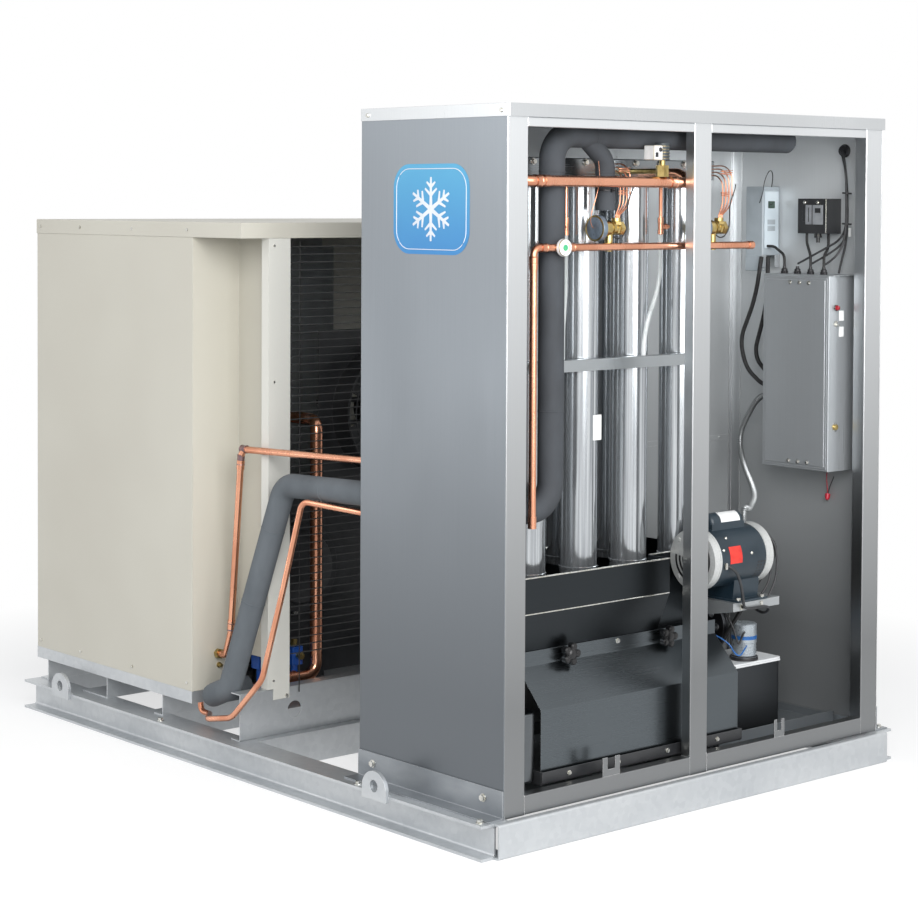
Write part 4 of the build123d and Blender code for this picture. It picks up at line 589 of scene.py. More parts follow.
# Sight glass. A chromed ring with a white rim and a green moisture dot behind the glass.
green_dot = Finish("moisture_dot", shade(70, 178, 120), 0.0, 0.2)
green_dot.paint(green_dot.blend(green_dot.cloud(150.0), shade(86, 190, 130), shade(60, 150, 110)))
brass = Finish("valve_brass", shade(196, 172, 112), 1.0, 0.32)
brass_stain = brass.cloud(40.0)
brass.paint(brass.blend(brass_stain, shade(206, 184, 124), shade(146, 126, 78)))
brass.roughen(0.24 + 0.2 * brass_stain)
brass.emboss(brass_stain, 0.15)
dress(brass, "sight_glass", "expansion_valves", "solenoid_valve")

glass_middle = (-545, -1161.3, 1690)
white_rim = bmesh.new()
turned(white_rim, glass_middle, (0, -1, 0), ((1, 25.3), (9, 25.6), (13.2, 23.5), (14.4, 20), (14.4, 17.2), (12, 16)), 44)
make_piece("sight_glass_rim", white_rim, white_plate)
dot = bmesh.new()
turned(dot, (-545, -1174, 1690), (0, -1, 0), ((0, 9), (0.8, 9), (1.1, 8)), 32)
make_piece("sight_glass_dot", dot, green_dot)
notches = bmesh.new()
for notch in range(10):
    angle = radians(notch * 36)
    turned(notches, (-545 + 20 * cos(angle), -1175.2, 1690 + 20 * sin(angle)), (0, -1, 0), ((0, 1.8), (0.8, 1.5)), 8)
make_piece("sight_glass_notches", notches, zinc)


# Expansion valves. Forged brass bodies with a blue-grey enamelled power head, a hexagon cap
# and a thin sensing tube that runs up to the suction pipe.
head_enamel = Finish("power_head_enamel", shade(110, 124, 138), 0.35, 0.3)
head_wear = head_enamel.cloud(45.0)
head_enamel.paint(head_enamel.blend(head_wear, shade(122, 136, 150), shade(92, 104, 116)))
head_enamel.roughen(0.24 + 0.2 * head_wear)
head_enamel.emboss(head_wear, 0.06)
valve_y = -1120
valve_z = 1744
heads = bmesh.new()
rings = bmesh.new()
for valve_x in (-319, 127):
    dish = ((-0.6, 8), (0, 18), (1.2, 30), (3.5, 38), (5, 38.8), (19.5, 38.8), (21, 37.6), (21.3, 20))
    turned(heads, (valve_x - 60, valve_y, valve_z), (1, 0, 0), dish, 48)
    turned(rings, (valve_x + 6, valve_y, valve_z), (1, 0, 0), ((0, 17), (0.6, 19.5), (5, 19.5), (6, 17)), 36)
    turned(rings, (valve_x + 22, valve_y, valve_z), (1, 0, 0), ((0, 17), (0.8, 20.5), (9, 20.5), (10, 17)), 6)
    turned(rings, (valve_x + 50, valve_y, valve_z), (1, 0, 0), ((0, 13), (3, 13.5), (6, 12), (9, 11.5)), 28)
    turned(rings, (valve_x + 30, valve_y, valve_z + 10), (0, 0, 1), ((0, 17.5), (9, 17.5), (10, 16)), 6)
make_piece("power_heads", heads, head_enamel)
make_piece("valve_rings", rings, brass)
for number, valve_x in enumerate((-319, 127)):
    sensing = [
        (valve_x - 60, valve_y, valve_z),
        (valve_x - 74, valve_y, valve_z + 6),
        (valve_x - 80, valve_y - 6, valve_z + 40),
        (valve_x - 62, valve_y - 14, valve_z + 100),
        (valve_x - 40, valve_y - 6, valve_z + 160),
        (valve_x - 30, valve_y + 22, valve_z + 232),
    ]
    strand(f"sensing_tube_{number}", sensing, 2.4, copper)
    equaliser = [
        (valve_x + 12, valve_y, valve_z - 16),
        (valve_x + 16, valve_y - 6, valve_z - 30),
        (valve_x + 48, valve_y - 8, valve_z - 30),
        (valve_x + 74, valve_y - 6, valve_z + 6),
        (valve_x + 66, valve_y - 10, valve_z + 74),
        (valve_x + 84, valve_y - 20, valve_z + 122),
        (valve_x + 82, -1140, 1878),
    ]
    strand(f"equaliser_tube_{number}", equaliser, 4, black_nylon)


# Solenoid valve. A coil in a ribbed grey jacket over the brass body, with a white terminal
# cover at its left.
coil_jacket = Finish("coil_jacket", shade(58, 66, 70), 0.0, 0.45)
coil_jacket.paint(coil_jacket.blend(coil_jacket.cloud(70.0), shade(62, 70, 74), shade(46, 52, 56)))
coil_jacket.emboss(coil_jacket.cloud(600.0), 0.05)
coil_x = -133
coil_y = -1156
coil_foot = 1896.3
jacket = bmesh.new()
ribbed = [(0, 18)]
for rib in range(5):
    ribbed += [(rib * 9 + 0.4, 22.4), (rib * 9 + 4.6, 22.4), (rib * 9 + 5.4, 20.2), (rib * 9 + 8.2, 20.2)]
ribbed += [(45, 21), (50, 20), (51.5, 14)]
turned(jacket, (coil_x, coil_y, coil_foot + 49.6), (0, 0, 1), ribbed, 36)
make_piece("coil_ribs", jacket, coil_jacket)
cover = bmesh.new()
slab(cover, (coil_x - 56.8, coil_y - 20.8, coil_foot + 49.2), (coil_x - 19.2, coil_y + 20.8, coil_foot + 92.8), 2.0)
make_piece("coil_terminal_cover", cover, white_plate)
cover_marks = bmesh.new()
slab(cover_marks, (coil_x - 50, coil_y - 21.6, coil_foot + 58), (coil_x - 38, coil_y - 20.6, coil_foot + 72), 0.3)
turned(cover_marks, (coil_x - 30, coil_y - 20.4, coil_foot + 80), (0, -1, 0), ((0, 6.5), (3, 6.5), (4.5, 4)), 20)
make_piece("coil_cover_plug", cover_marks, black_nylon)


# Water hoses. Clear vinyl hose from a small copper tee behind the liquid manifold down to
# the cross bar.
clear_vinyl = Finish("clear_vinyl", shade(236, 240, 240), 0.0, 0.08)
clear_vinyl.feed(clear_vinyl.shader.inputs["Alpha"], 0.42)
clear_vinyl.paint(clear_vinyl.blend(clear_vinyl.cloud(5.0, (1, 1, 3)), shade(244, 247, 247), shade(214, 222, 222)))
dress(clear_vinyl, "water_hoses")
tees = bmesh.new()
for tee_x, arm in ((-390, -1), (12, 1)):
    turned(tees, (tee_x, -1012.3, 1722), (0, 0, 1), ((0, 8.2), (1, 9.6), (14, 9.6), (15, 8.4), (34, 8.4), (35, 9.6), (52, 9.6)), 24)
    turned(tees, (tee_x, -1012.3, 1774), (0, 0, 1), ((0, 6), (118, 6)), 20)
    turned(tees, (tee_x, -1012.3, 1746), (arm, 0, 0), ((0, 7.6), (16, 7.6), (17, 9.2), (26, 9.2), (27, 5), (36, 5)), 24)
make_piece("hose_tees", tees, copper)


# Ice hopper and hood. Folded from evenly brushed stainless sheet, painted darker as painted shade; bright
# rolled edges along the top and a lower fold are painted highlights.
# Painted shade: hopper and hood are darker copies of the stainless, for the dark they reflect.
hopper_steel_shaded = stainless("stainless_hopper_shaded", shade(56, 60, 63), 0.3, (3, 260, 260), edge_mm=2.2)
hood_steel_shaded = stainless("stainless_hood_shaded", shade(98, 104, 108), 0.26, (3, 260, 260), edge_mm=2.2)
dress(hopper_steel_shaded, "ice_hopper")
dress(hood_steel_shaded, "cutter_hood")

# Painted highlight: bright plated bars along the hopper edges stand for the fold highlights.
rolled_edge_highlights = bmesh.new()
tube_along(rolled_edge_highlights, [(-650, -1092, 738), (-20, -1092, 738)], 2.4)
tube_along(rolled_edge_highlights, [(-649, -1091.4, 633), (-20, -1091.4, 633)], 2.2)
tube_along(rolled_edge_highlights, [(-17, -1004.4, 738), (234, -1004.4, 738)], 2.4)
tube_along(rolled_edge_highlights, [(-650, -690, 738), (234, -690, 738)], 2.4)
make_piece("hopper_rolled_edge_highlights", rolled_edge_highlights, zinc)

knob_black = Finish("knob_black", shade(20, 20, 22), 0.0, 0.22)
knob_black.paint(knob_black.blend(knob_black.cloud(80.0), shade(14, 14, 16), shade(20, 20, 22)))
knob_black.roughen(0.26 + 0.06 * knob_black.cloud(140.0))
knob_black.emboss(knob_black.cloud(500.0), 0.04, 2.5)
dress(knob_black, "hood_knob_left", "hood_knob_right")
for side, knob_x in (("left", -413), ("right", 2)):
    cap = bmesh.new()
    turned(cap, (knob_x, -1076.6, 492), (0, -1, 0), ((0, 17), (1.5, 18), (4, 15), (6, 11), (7, 6), (7.3, 1.5)), 36)
    for lobe in range(5):
        angle = radians(lobe * 72)
        spot = (knob_x + 22.4 * cos(angle), -1076.4, 492 + 22.4 * sin(angle))
        turned(cap, spot, (0, -1, 0), ((0, 10.6), (2, 9.4), (3.4, 6), (3.8, 2)), 20)
    make_piece(f"knob_crown_{side}", cap, knob_black, f"knob_{side}")


# Cutter. End plates and rail in black enamel, cutting drum of blued steel, tan cast bearing
# housings with grease nipples.
def enamel(name, colour, edge_highlight_colour, roughness=0.34):
    """Brushed-on enamel: slight orange peel, lightened along the edges as a painted highlight."""
    coat = Finish(name, colour, 0.0, roughness)
    patches = coat.cloud(14.0, detail=4.0)
    lighter = tuple(min(part * 1.25 + 0.01, 1) for part in colour[:3]) + (1.0,)
    body = coat.blend(patches, colour, lighter)
    # Painted highlight: the enamel is lightened along its edges.
    coat.paint(coat.blend(0.6 * coat.painted_edge_highlight(1.4), body, edge_highlight_colour))
    coat.roughen(roughness - 0.06 + 0.14 * patches)
    coat.emboss(coat.cloud(260.0, detail=1.0), 0.08, 1.4)
    return coat


black_enamel = enamel("black_enamel", shade(38, 39, 41), shade(120, 121, 122))
blued_steel = stainless("blued_steel", shade(92, 94, 98), 0.36, (120, 20, 20), edge_mm=1.2)
tan_enamel = enamel("tan_enamel", shade(178, 156, 124), shade(206, 192, 168), 0.4)
dress(black_enamel, "crusher_frame", "compressor", "liquid_receiver", "fan_shroud")
dress(blued_steel, "cutter_drum", "motor_pulley")
dress(tan_enamel, "cutter_bearings")
belt_rubber = Finish("belt_rubber", shade(30, 30, 31), 0.0, 0.7)
belt_rubber.paint(belt_rubber.blend(belt_rubber.cloud(120.0), shade(26, 26, 27), shade(48, 48, 48)))
belt_rubber.emboss(belt_rubber.cloud(900.0), 0.1)
dress(belt_rubber, "drive_belt", "control_cables")

nipples = bmesh.new()
for flange_x, outward in ((-606, -1), (244, 1)):
    for bolt_y in (-1, 1):
        for bolt_z in (-1, 1):
            spot = (flange_x + outward * 12, -855 + bolt_y * 36, 448 + bolt_z * 36)
            turned(nipples, spot, (outward, 0, 0), ((0, 9), (7, 9), (8, 8)), 6)
    turned(nipples, (flange_x + outward * 26, -855, 476), (0, 0, 1), ((0, 4.5), (5, 4.5), (6, 2.5), (10, 3), (12, 1.5)), 12)
make_piece("bearing_bolts", nipples, zinc)


# Motor. Rolled steel shell in blue-grey enamel with a start-capacitor cover on top, bare cast
# end bells, a blank red plate and a blank white plate. The curved air slots in the bells and the vents near
# the rear bell are thin dark plates: painted shade for the openings.
motor_enamel = enamel("motor_enamel", shade(20, 36, 46), shade(92, 106, 115), 0.36)
dress(motor_enamel, "motor_body")
bell_metal = Finish("bell_casting", shade(178, 180, 178), 0.35, 0.42)
sand = bell_metal.cloud(180.0, detail=4.0)
bell_metal.paint(bell_metal.blend(sand, shade(200, 202, 200), shade(188, 190, 189)))
bell_metal.roughen(0.36 + 0.18 * sand)
bell_metal.emboss(sand, 0.06, 1.2)
dress(bell_metal, "motor_end_bells")
shelf_steel = stainless("stainless_shelf", shade(176, 180, 182), 0.3, (3, 260, 260), metallic=0.7)
dress(shelf_steel, "motor_shelf")


def curved_plate(shape, axis_start, radius, span_x, span_angle, thickness=0.8, steps=10):
    """Adds a thin plate wrapped on a barrel along X; the angle is 0 in front and 90 on top."""
    inner = []
    outer = []
    for layer, reach in ((inner, radius), (outer, radius + thickness)):
        for along in span_x:
            row = []
            for step in range(steps + 1):
                angle = radians(span_angle[0] + (span_angle[1] - span_angle[0]) * step / steps)
                spot = Vector((along, axis_start[1] - reach * cos(angle), axis_start[2] + reach * sin(angle)))
                row.append(shape.verts.new(spot))
            layer.append(row)
    for step in range(steps):
        shape.faces.new((outer[0][step], outer[0][step + 1], outer[1][step + 1], outer[1][step]))
        shape.faces.new((inner[0][step + 1], inner[0][step], inner[1][step], inner[1][step + 1]))
        for side in (0, 1):
            shape.faces.new((inner[side][step], inner[side][step + 1], outer[side][step + 1], outer[side][step]))
    for end in (0, steps):
        shape.faces.new((inner[0][end], inner[1][end], outer[1][end], outer[0][end]))


motor_axis = (0, -1102, 725)
capacitor_axis = (0, -1102, 832)
red_plate = Finish("red_plate", shade(214, 52, 42), 0.0, 0.34)
red_plate.paint(red_plate.blend(red_plate.cloud(60.0), shade(220, 58, 46), shade(196, 44, 38)))
red_plate.emboss(red_plate.cloud(300.0), 0.03)
plate = bmesh.new()
curved_plate(plate, motor_axis, 92.1, (142, 196), (-6, 27))
make_piece("motor_red_plate", plate, red_plate)
plate = bmesh.new()
curved_plate(plate, capacitor_axis, 30.1, (166, 252), (5, 80))
make_piece("capacitor_white_plate", plate, white_plate)
# Painted shade: dark plates on the shell stand for the vent openings.
vent_shade = bmesh.new()
for column in range(3):
    for row in range(6):
        left = 270 + column * 13
        low = -44 + row * 6.6
        curved_plate(vent_shade, motor_axis, 91.6, (left, left + 8), (low, low + 3.4), 0.8, 3)
make_piece("motor_vent_shade", vent_shade, black_nylon)

# Painted shade: dark plates on the bells stand for the air slot openings.
slot_shade = bmesh.new()
for face_x in ((70.2, 71), (342, 342.8)):
    for slot_radius in (35, 50, 65):
        for slot_span in ((-50, 40), (172, 252)):
            curved_plate(slot_shade, motor_axis, slot_radius, face_x, slot_span, 7.4, 14)
make_piece("bell_air_slot_shade", slot_shade, black_nylon)

bands = bmesh.new()
for band_x in (96.2, 305.8):
    turned(bands, (band_x, -1102, 725), (1, 0, 0), ((0, 92), (0.5, 95), (6.5, 95), (8, 92)), 56)
for bolt in range(4):
    angle = radians(45 + 90 * bolt)
    spot = (71, -1102 + 80 * cos(angle), 725 + 80 * sin(angle))
    turned(bands, spot, (-1, 0, 0), ((0, 7), (4, 7), (5, 6)), 6)
make_piece("bell_bands", bands, bell_metal)

screws = bmesh.new()
for screw_x, angle in ((118, 22), (118, -12), (240, 10), (150, 46)):
    out = Vector((0, -cos(radians(angle)), sin(radians(angle))))
    turned(screws, Vector((screw_x, -1102, 725)) + out * 92, out, pan_head, 14)
slab(screws, (112, -1203, 702), (122, -1190, 722), 1.5)
for clamp_x in (200, 292):
    slab(screws, (clamp_x, -1185.5, 566), (clamp_x + 12, -1182, 584), 1.0)
make_piece("motor_screws", screws, zinc)

lead_rubber = Finish("lead_rubber", shade(36, 37, 39), 0.0, 0.5)
lead_rubber.paint(lead_rubber.blend(lead_rubber.cloud(40.0), shade(32, 33, 35), shade(54, 55, 57)))
lead_rubber.emboss(lead_rubber.cloud(500.0), 0.05)
front_lead = [
    (120, -1190, 712),
    (130, -1204, 712),
    (168, -1206, 680),
    (190, -1204, 610),
    (206, -1192, 572),
    (250, -1190, 566),
    (298, -1190, 568),
    (336, -1186, 560),
    (350, -1150, 530),
    (400, -1040, 540),
    (452, -980, 520),
    (464, -965, 462 + 118),
]
strand("motor_front_lead", front_lead, 9, lead_rubber)
rear_leads = (
    ((318, -1100, 812), (346, -1136, 806), (368, -1176, 760), (374, -1182, 690), (366, -1178, 630), (346, -1170, 592)),
    ((322, -1090, 806), (352, -1126, 790), (360, -1160, 730), (362, -1166, 670), (352, -1160, 620), (330, -1150, 592)),
)
for number, route in enumerate(rear_leads):
    strand(f"motor_rear_lead_{number}", list(route), 7, lead_rubber)


# Flexible conduit. Strip-wound galvanised steel: the turns stand proud in close rings.
conduit_route = [
    (729.7, -849.4, 1180),
    (729.7, -800, 1180),
    (729.7, -752, 1130),
    (722, -704, 1034),
    (699.7, -740, 950),
    (579.7, -910, 866),
    (440, -1010, 850),
    (365, -1068, 852),
    (316, -1096, 866),
    (303, -1102, 850),
    (303, -1102, 817.3),
]
core_line = bpy.data.curves.new("conduit_path", "CURVE")
core_line.dimensions = "3D"
core_line.resolution_u = 40
core_spline = core_line.splines.new("NURBS")
core_spline.points.add(len(conduit_route) - 1)
for knot, point in zip(core_spline.points, conduit_route):
    knot.co = (*point, 1)
core_spline.order_u = 3
core_spline.use_endpoint_u = True
core_object = bpy.data.objects.new("conduit_path", core_line)
bpy.context.scene.collection.objects.link(core_object)
path_mesh = bpy.data.meshes.new_from_object(core_object)
path_points = [vert.co.copy() for vert in path_mesh.vertices]
bpy.data.objects.remove(core_object)
winding = []
gone = 0.0
for first, second in zip(path_points, path_points[1:]):
    length = (second - first).length
    while gone <= length:
        winding.append(first.lerp(second, gone / length))
        gone += 1.6
    gone -= length
conduit = bmesh.new()
tube_along(conduit, winding, lambda index: (7.9, 10.1, 10.1, 7.9)[index % 4], 18)
conduit_steel = stainless("conduit_steel", shade(150, 153, 154), 0.34, (40, 40, 40), metallic=0.8, edge_mm=0.6)
conduit_piece = make_piece("conduit_winding", conduit, conduit_steel, sharp=25)
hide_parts("flexible_conduit")


# Tank, pump and sump can. A stainless tank painted dark as painted shade, with a white moulded lid, a small pump in a
# silver jacket with a blue band on a black foot, and a bright spun can at the left.
# Painted shade: the tank is a darker copy of the stainless.
tank_steel_shaded = stainless("stainless_tank_shaded", shade(74, 77, 80), 0.38, (3, 260, 260), edge_mm=1.6)
dress(tank_steel_shaded, "water_tank")
moulded_white = Finish("moulded_white", shade(228, 230, 231), 0.0, 0.42)
moulded_white.paint(moulded_white.blend(moulded_white.cloud(8.0), shade(232, 234, 235), shade(214, 217, 218)))
moulded_white.emboss(moulded_white.cloud(350.0), 0.06, 1.5)
dress(moulded_white, "tank_lid")
can_steel = stainless("spun_can", shade(104, 108, 111), 0.18, (3, 3, 120), edge_mm=1.0)
dress(can_steel, "sump_can")

pump_x, pump_y, pump_foot = 464, -965, 346
jacket_grey = Finish("pump_jacket", shade(176, 182, 186), 0.5, 0.3)
jacket_grey.paint(jacket_grey.blend(jacket_grey.cloud(50.0), shade(178, 186, 192), shade(166, 174, 180)))
jacket_grey.roughen(0.26 + 0.05 * jacket_grey.cloud(90.0))
dress(jacket_grey, "water_pump")
base_ring = bmesh.new()
turned(base_ring, (pump_x, pump_y, pump_foot), (0, 0, 1), ((0, 46), (3, 46.5), (11, 45), (14, 40), (15, 38.2)), 44)
make_piece("pump_foot_ring", base_ring, black_nylon)
jacket = bmesh.new()
turned(jacket, (pump_x, pump_y, pump_foot + 15), (0, 0, 1), ((0, 38.4), (2, 39), (40, 39), (42, 40.8), (46, 41), (100, 40.6), (103, 38), (104, 30)), 48)
make_piece("pump_jacket_shell", jacket, jacket_grey)
pump_blue = Finish("pump_blue", shade(40, 104, 176), 0.0, 0.3)
pump_blue.paint(pump_blue.blend(pump_blue.cloud(60.0), shade(44, 110, 182), shade(34, 90, 156)))
band = bmesh.new()
turned(band, (pump_x, pump_y, pump_foot + 68), (0, 0, 1), ((0, 41), (0.4, 41.5), (11.6, 41.5), (12, 41)), 48)
make_piece("pump_band", band, pump_blue)
fins = bmesh.new()
for fin in range(3):
    turned(fins, (pump_x, pump_y, pump_foot + 22 + fin * 10), (0, 0, 1), ((0, 38.8), (1, 40.4), (3, 40.4), (4, 38.8)), 44)
make_piece("pump_fins", fins, jacket_grey)
strand(
    "pump_blue_lead",
    [(440, -998, 396), (410, -1016, 392), (384, -1020, 372), (366, -1012, 384), (352, -1000, 420), (330, -960, 440)],
    5,
    pump_blue,
)
strand(
    "pump_black_lead",
    [(436, -992, 440), (404, -1012, 440), (382, -1016, 400), (372, -1000, 470), (356, -960, 530), (350, -940, 560)],
    7,
    lead_rubber,
)
lid_rim = bmesh.new()
slab(lid_rim, (372, -1014.6, 333), (585, -1012.2, 340), 0.8)
slab(lid_rim, (430, -905, 346), (500, -880, 349), 1.0)
make_piece("tank_lid_lip", lid_rim, moulded_white)


# Electrical enclosure. A stainless box with a shallow door on its left, a red pilot lamp, a
# toggle between two blank plates, a push button and four cable glands on top.
enclosure_steel = stainless("stainless_enclosure", shade(176, 180, 183), 0.28, metallic=0.55)
dress(enclosure_steel, "electrical_enclosure")
door = bmesh.new()
slab(door, (673.4, -1122, 958), (674.7, -857, 1578), 0.6)
slab(door, (671.6, -1114, 966), (673.4, -865, 1570), 0.7)
make_piece("enclosure_door", door, enclosure_steel)
door_screws = bmesh.new()
for screw_y in (-1045, -1006, -967):
    for screw_z in (975, 1561):
        turned(door_screws, (671.6, screw_y, screw_z), (-1, 0, 0), ((0, 7), (1, 7)), 18)
        turned(door_screws, (670.6, screw_y, screw_z), (-1, 0, 0), ((0, 5), (3, 5), (4, 4)), 6)
make_piece("enclosure_door_screws", door_screws, zinc)

dress(black_nylon, "enclosure_fittings")
lamp_red = Finish("lamp_red", shade(150, 24, 36), 0.0, 0.12)
lamp_red.paint(lamp_red.blend(lamp_red.cloud(120.0), shade(158, 26, 38), shade(130, 18, 30)))
lens = bmesh.new()
turned(lens, (708.7, -1133, 1482), (0, -1, 0), ((0, 8.6), (5, 8.6), (8, 7), (9.4, 4), (9.8, 1)), 28)
make_piece("pilot_lens", lens, lamp_red)
plates = bmesh.new()
for plate_z in (1404, 1456):
    slab(plates, (724.2, -1131.2, plate_z - 16.5), (747.2, -1129, plate_z + 16.5), 0.6)
make_piece("switch_plates", plates, white_plate)
nuts = bmesh.new()
turned(nuts, (708.7, -1129.2, 1482), (0, -1, 0), ((0, 11), (3, 11), (4, 9.6)), 6)
for ring_z, inner_radius in ((1430, 5.2), (1095, 10.2)):
    turned(nuts, (708.7, -1129.1, ring_z), (0, -1, 0), ((0, inner_radius + 5), (1.6, inner_radius + 5)), 6)
make_piece("control_nuts", nuts, zinc)
dress(brass, "push_button")
glands = bmesh.new()
for gland_y in (-1059.25, -1003.45, -947.65, -891.85):
    turned(glands, (730.7, gland_y, 1587), (0, 0, 1), ((0, 13), (8, 13), (9, 11.5)), 6)
    turned(glands, (730.7, gland_y, 1596), (0, 0, 1), ((0, 10.2), (6, 10.2), (9, 6), (16, 5.2)), 20)
make_piece("cable_glands", glands, black_nylon)


# Temperature and pressure controls on the right wall: a pale blue-grey moulded case with a
# small dark screen on a folded bracket, and a black steel case with two blank grey plates.
case_grey = Finish("case_grey", shade(168, 177, 183), 0.0, 0.42)
case_grey.paint(case_grey.blend(case_grey.cloud(12.0), shade(172, 181, 187), shade(156, 165, 171)))
case_grey.emboss(case_grey.cloud(420.0), 0.07, 2.0)
dress(case_grey, "temperature_controller")
face_plate = bmesh.new()
slab(face_plate, (750, -785.4, 1668), (822, -784, 1860), 1.0)
case_face = Finish("case_face", shade(206, 217, 223), 0.0, 0.36)
case_face.paint(case_face.blend(case_face.cloud(10.0), shade(210, 221, 227), shade(196, 208, 216)))
case_face.emboss(case_face.cloud(420.0), 0.05, 2.0)
make_piece("controller_face", face_plate, case_face)
screen_green = Finish("screen_green", shade(30, 58, 44), 0.0, 0.12)
screen_green.paint(screen_green.blend(screen_green.cloud(90.0), shade(34, 66, 50), shade(22, 42, 34)))
screen = bmesh.new()
slab(screen, (768, -786.4, 1802), (802, -785.2, 1826), 0.6)
make_piece("controller_screen", screen, screen_green)
pads = bmesh.new()
for pad in range(2):
    slab(pads, (766, -786.0, 1748 - pad * 22), (804, -785.2, 1764 - pad * 22), 0.3)
make_piece("controller_pads", pads, case_grey)
bracket = bmesh.new()
slab(bracket, (743, -712, 1598), (829, -709.6, 1646), 0.5)
slab(bracket, (743, -782, 1604), (745, -712, 1644.4), 0.5)
slab(bracket, (743, -783, 1604), (764, -781, 1644.4), 0.5)
slab(bracket, (808, -783, 1604), (829, -781, 1644.4), 0.5)
make_piece("controller_bracket", bracket, enclosure_steel)

case_black = enamel("case_black", shade(34, 35, 37), shade(110, 110, 110), 0.36)
dress(case_black, "pressure_control")
plate_grey = Finish("plate_grey", shade(150, 153, 157), 0.2, 0.36)
plate_grey.paint(plate_grey.blend(plate_grey.cloud(24.0), shade(158, 161, 165), shade(128, 131, 135)))
scales = bmesh.new()
slab(scales, (750.9, -1036, 1750), (752.6, -992, 1814), 0.5)
slab(scales, (750.9, -988, 1750), (752.6, -962, 1814), 0.5)
make_piece("pressure_scale_plates", scales, plate_grey)
window = bmesh.new()
slab(window, (750.3, -1026, 1788), (751.2, -1002, 1804), 0.3)
slab(window, (750.3, -978, 1758), (751.2, -974, 1806), 0.3)
make_piece("pressure_windows", window, case_black)
strips = bmesh.new()
slab(strips, (751.4, -1048.6, 1722), (755.4, -1045.6, 1833), 0.5)
for knob_y in (-1014, -960):
    turned(strips, (752, knob_y, 1822), (-1, 0, 0), ((0, 6), (4, 6), (6, 4.5)), 18)
turned(strips, (786.7, -987, 1720), (0, 0, -1), ((0, 14), (8, 14), (9, 12)), 6)
make_piece("pressure_fittings", strips, zinc)

bundle = (
    ((812, -1068, 1990), (800, -1090, 1940), (786, -1104, 1860), (780, -1110, 1760), (772, -1108, 1690), (748, -1092, 1640), (731, -1060, 1618)),
    ((818, -1062, 1992), (806, -1084, 1944), (794, -1100, 1870), (790, -1108, 1770), (786, -1104, 1700), (762, -1070, 1660), (731, -1004, 1620)),
    ((814, -1056, 1994), (808, -1078, 1950), (800, -1096, 1880), (797, -1102, 1780), (790, -1090, 1706), (764, -1030, 1668), (731, -948, 1620)),
    ((820, -1058, 1990), (814, -1074, 1946), (806, -1090, 1874), (803, -1098, 1770), (798, -1096, 1690), (790, -1080, 1620), (786, -1076, 1590)),
)
for number, route in enumerate(bundle):
    strand(f"wire_bundle_{number}", list(route), 7, lead_rubber)
bundle_trim = bmesh.new()
turned(bundle_trim, (830, -1062, 1992), (-1, 0, 0), ((0, 22), (4, 22), (6, 19), (14, 17)), 28)
for band_place in ((789, -1104, 1850), (786, -1107, 1750)):
    turned(bundle_trim, band_place, (0.05, -0.05, 1), ((0, 15), (0.6, 16), (5, 16), (5.6, 15)), 24)
make_piece("bundle_bushing", bundle_trim, black_nylon)
flag = bmesh.new()
slab(flag, (776, -1124, 1712), (790, -1122.8, 1740), 0.4)
make_piece("bundle_tag", flag, white_plate)
capillary = [(786, -784, 1874), (784, -792, 1900), (770, -800, 1930), (744, -806, 1926), (730, -800, 1890), (736, -790, 1850), (742, -770, 1820)]
strand("controller_capillary", capillary, 3, black_nylon)

red_nylon = Finish("red_nylon", shade(196, 34, 58), 0.0, 0.36)
red_nylon.paint(red_nylon.blend(red_nylon.cloud(90.0), shade(204, 38, 62), shade(170, 26, 46)))
wire_nut = bmesh.new()
turned(wire_nut, (822, -1010, 858), (-0.4, -0.2, -1), ((0, 5), (2, 9), (14, 8), (22, 4.5)), 16)
make_piece("wire_nut", wire_nut, red_nylon)
strand("wire_nut_lead", [(830.4, -1000, 930), (824, -1002, 915), (821, -1008, 880), (822, -1010, 857)], 3, red_nylon)
strand("wire_nut_loop", [(822, -1010, 857), (818, -1020, 880), (822, -1030, 905), (830.4, -1028, 915)], 3, lead_rubber)


# Condensing unit. Painted sheet: warm beige with a faint texture, paler posts, galvanised
# base rail and pan.
def body_paint(name, colour, shadow):
    """Baked powder paint with a slight orange peel, lightened along the folds as a painted highlight."""
    coat = Finish(name, colour, 0.0, 0.42)
    patches = coat.cloud(1.4, detail=2.0)
    # Painted highlight: the paint is lightened along folds and edges.
    coat.paint(coat.blend(coat.painted_edge_highlight(2.0) * 0.5, coat.blend(patches, colour, shadow), shade(236, 235, 226)))
    coat.roughen(0.38 + 0.1 * coat.cloud(6.0))
    coat.emboss(coat.cloud(240.0, detail=1.0), 0.06, 2.0)
    return coat


beige = body_paint("beige_panel", shade(208, 205, 193), shade(199, 195, 183))
pale_beige = body_paint("beige_post", shade(222, 221, 213), shade(214, 213, 206))
dress(beige, "unit_side_panel", "unit_corner_panel", "unit_lid")
dress(pale_beige, "unit_end_panels")
dress(galvanised, "unit_base")
guard_black = Finish("guard_wire", shade(24, 24, 25), 0.0, 0.4)
guard_black.paint(guard_black.blend(guard_black.cloud(60.0), shade(22, 22, 23), shade(46, 46, 46)))
dress(guard_black, "wire_guard")

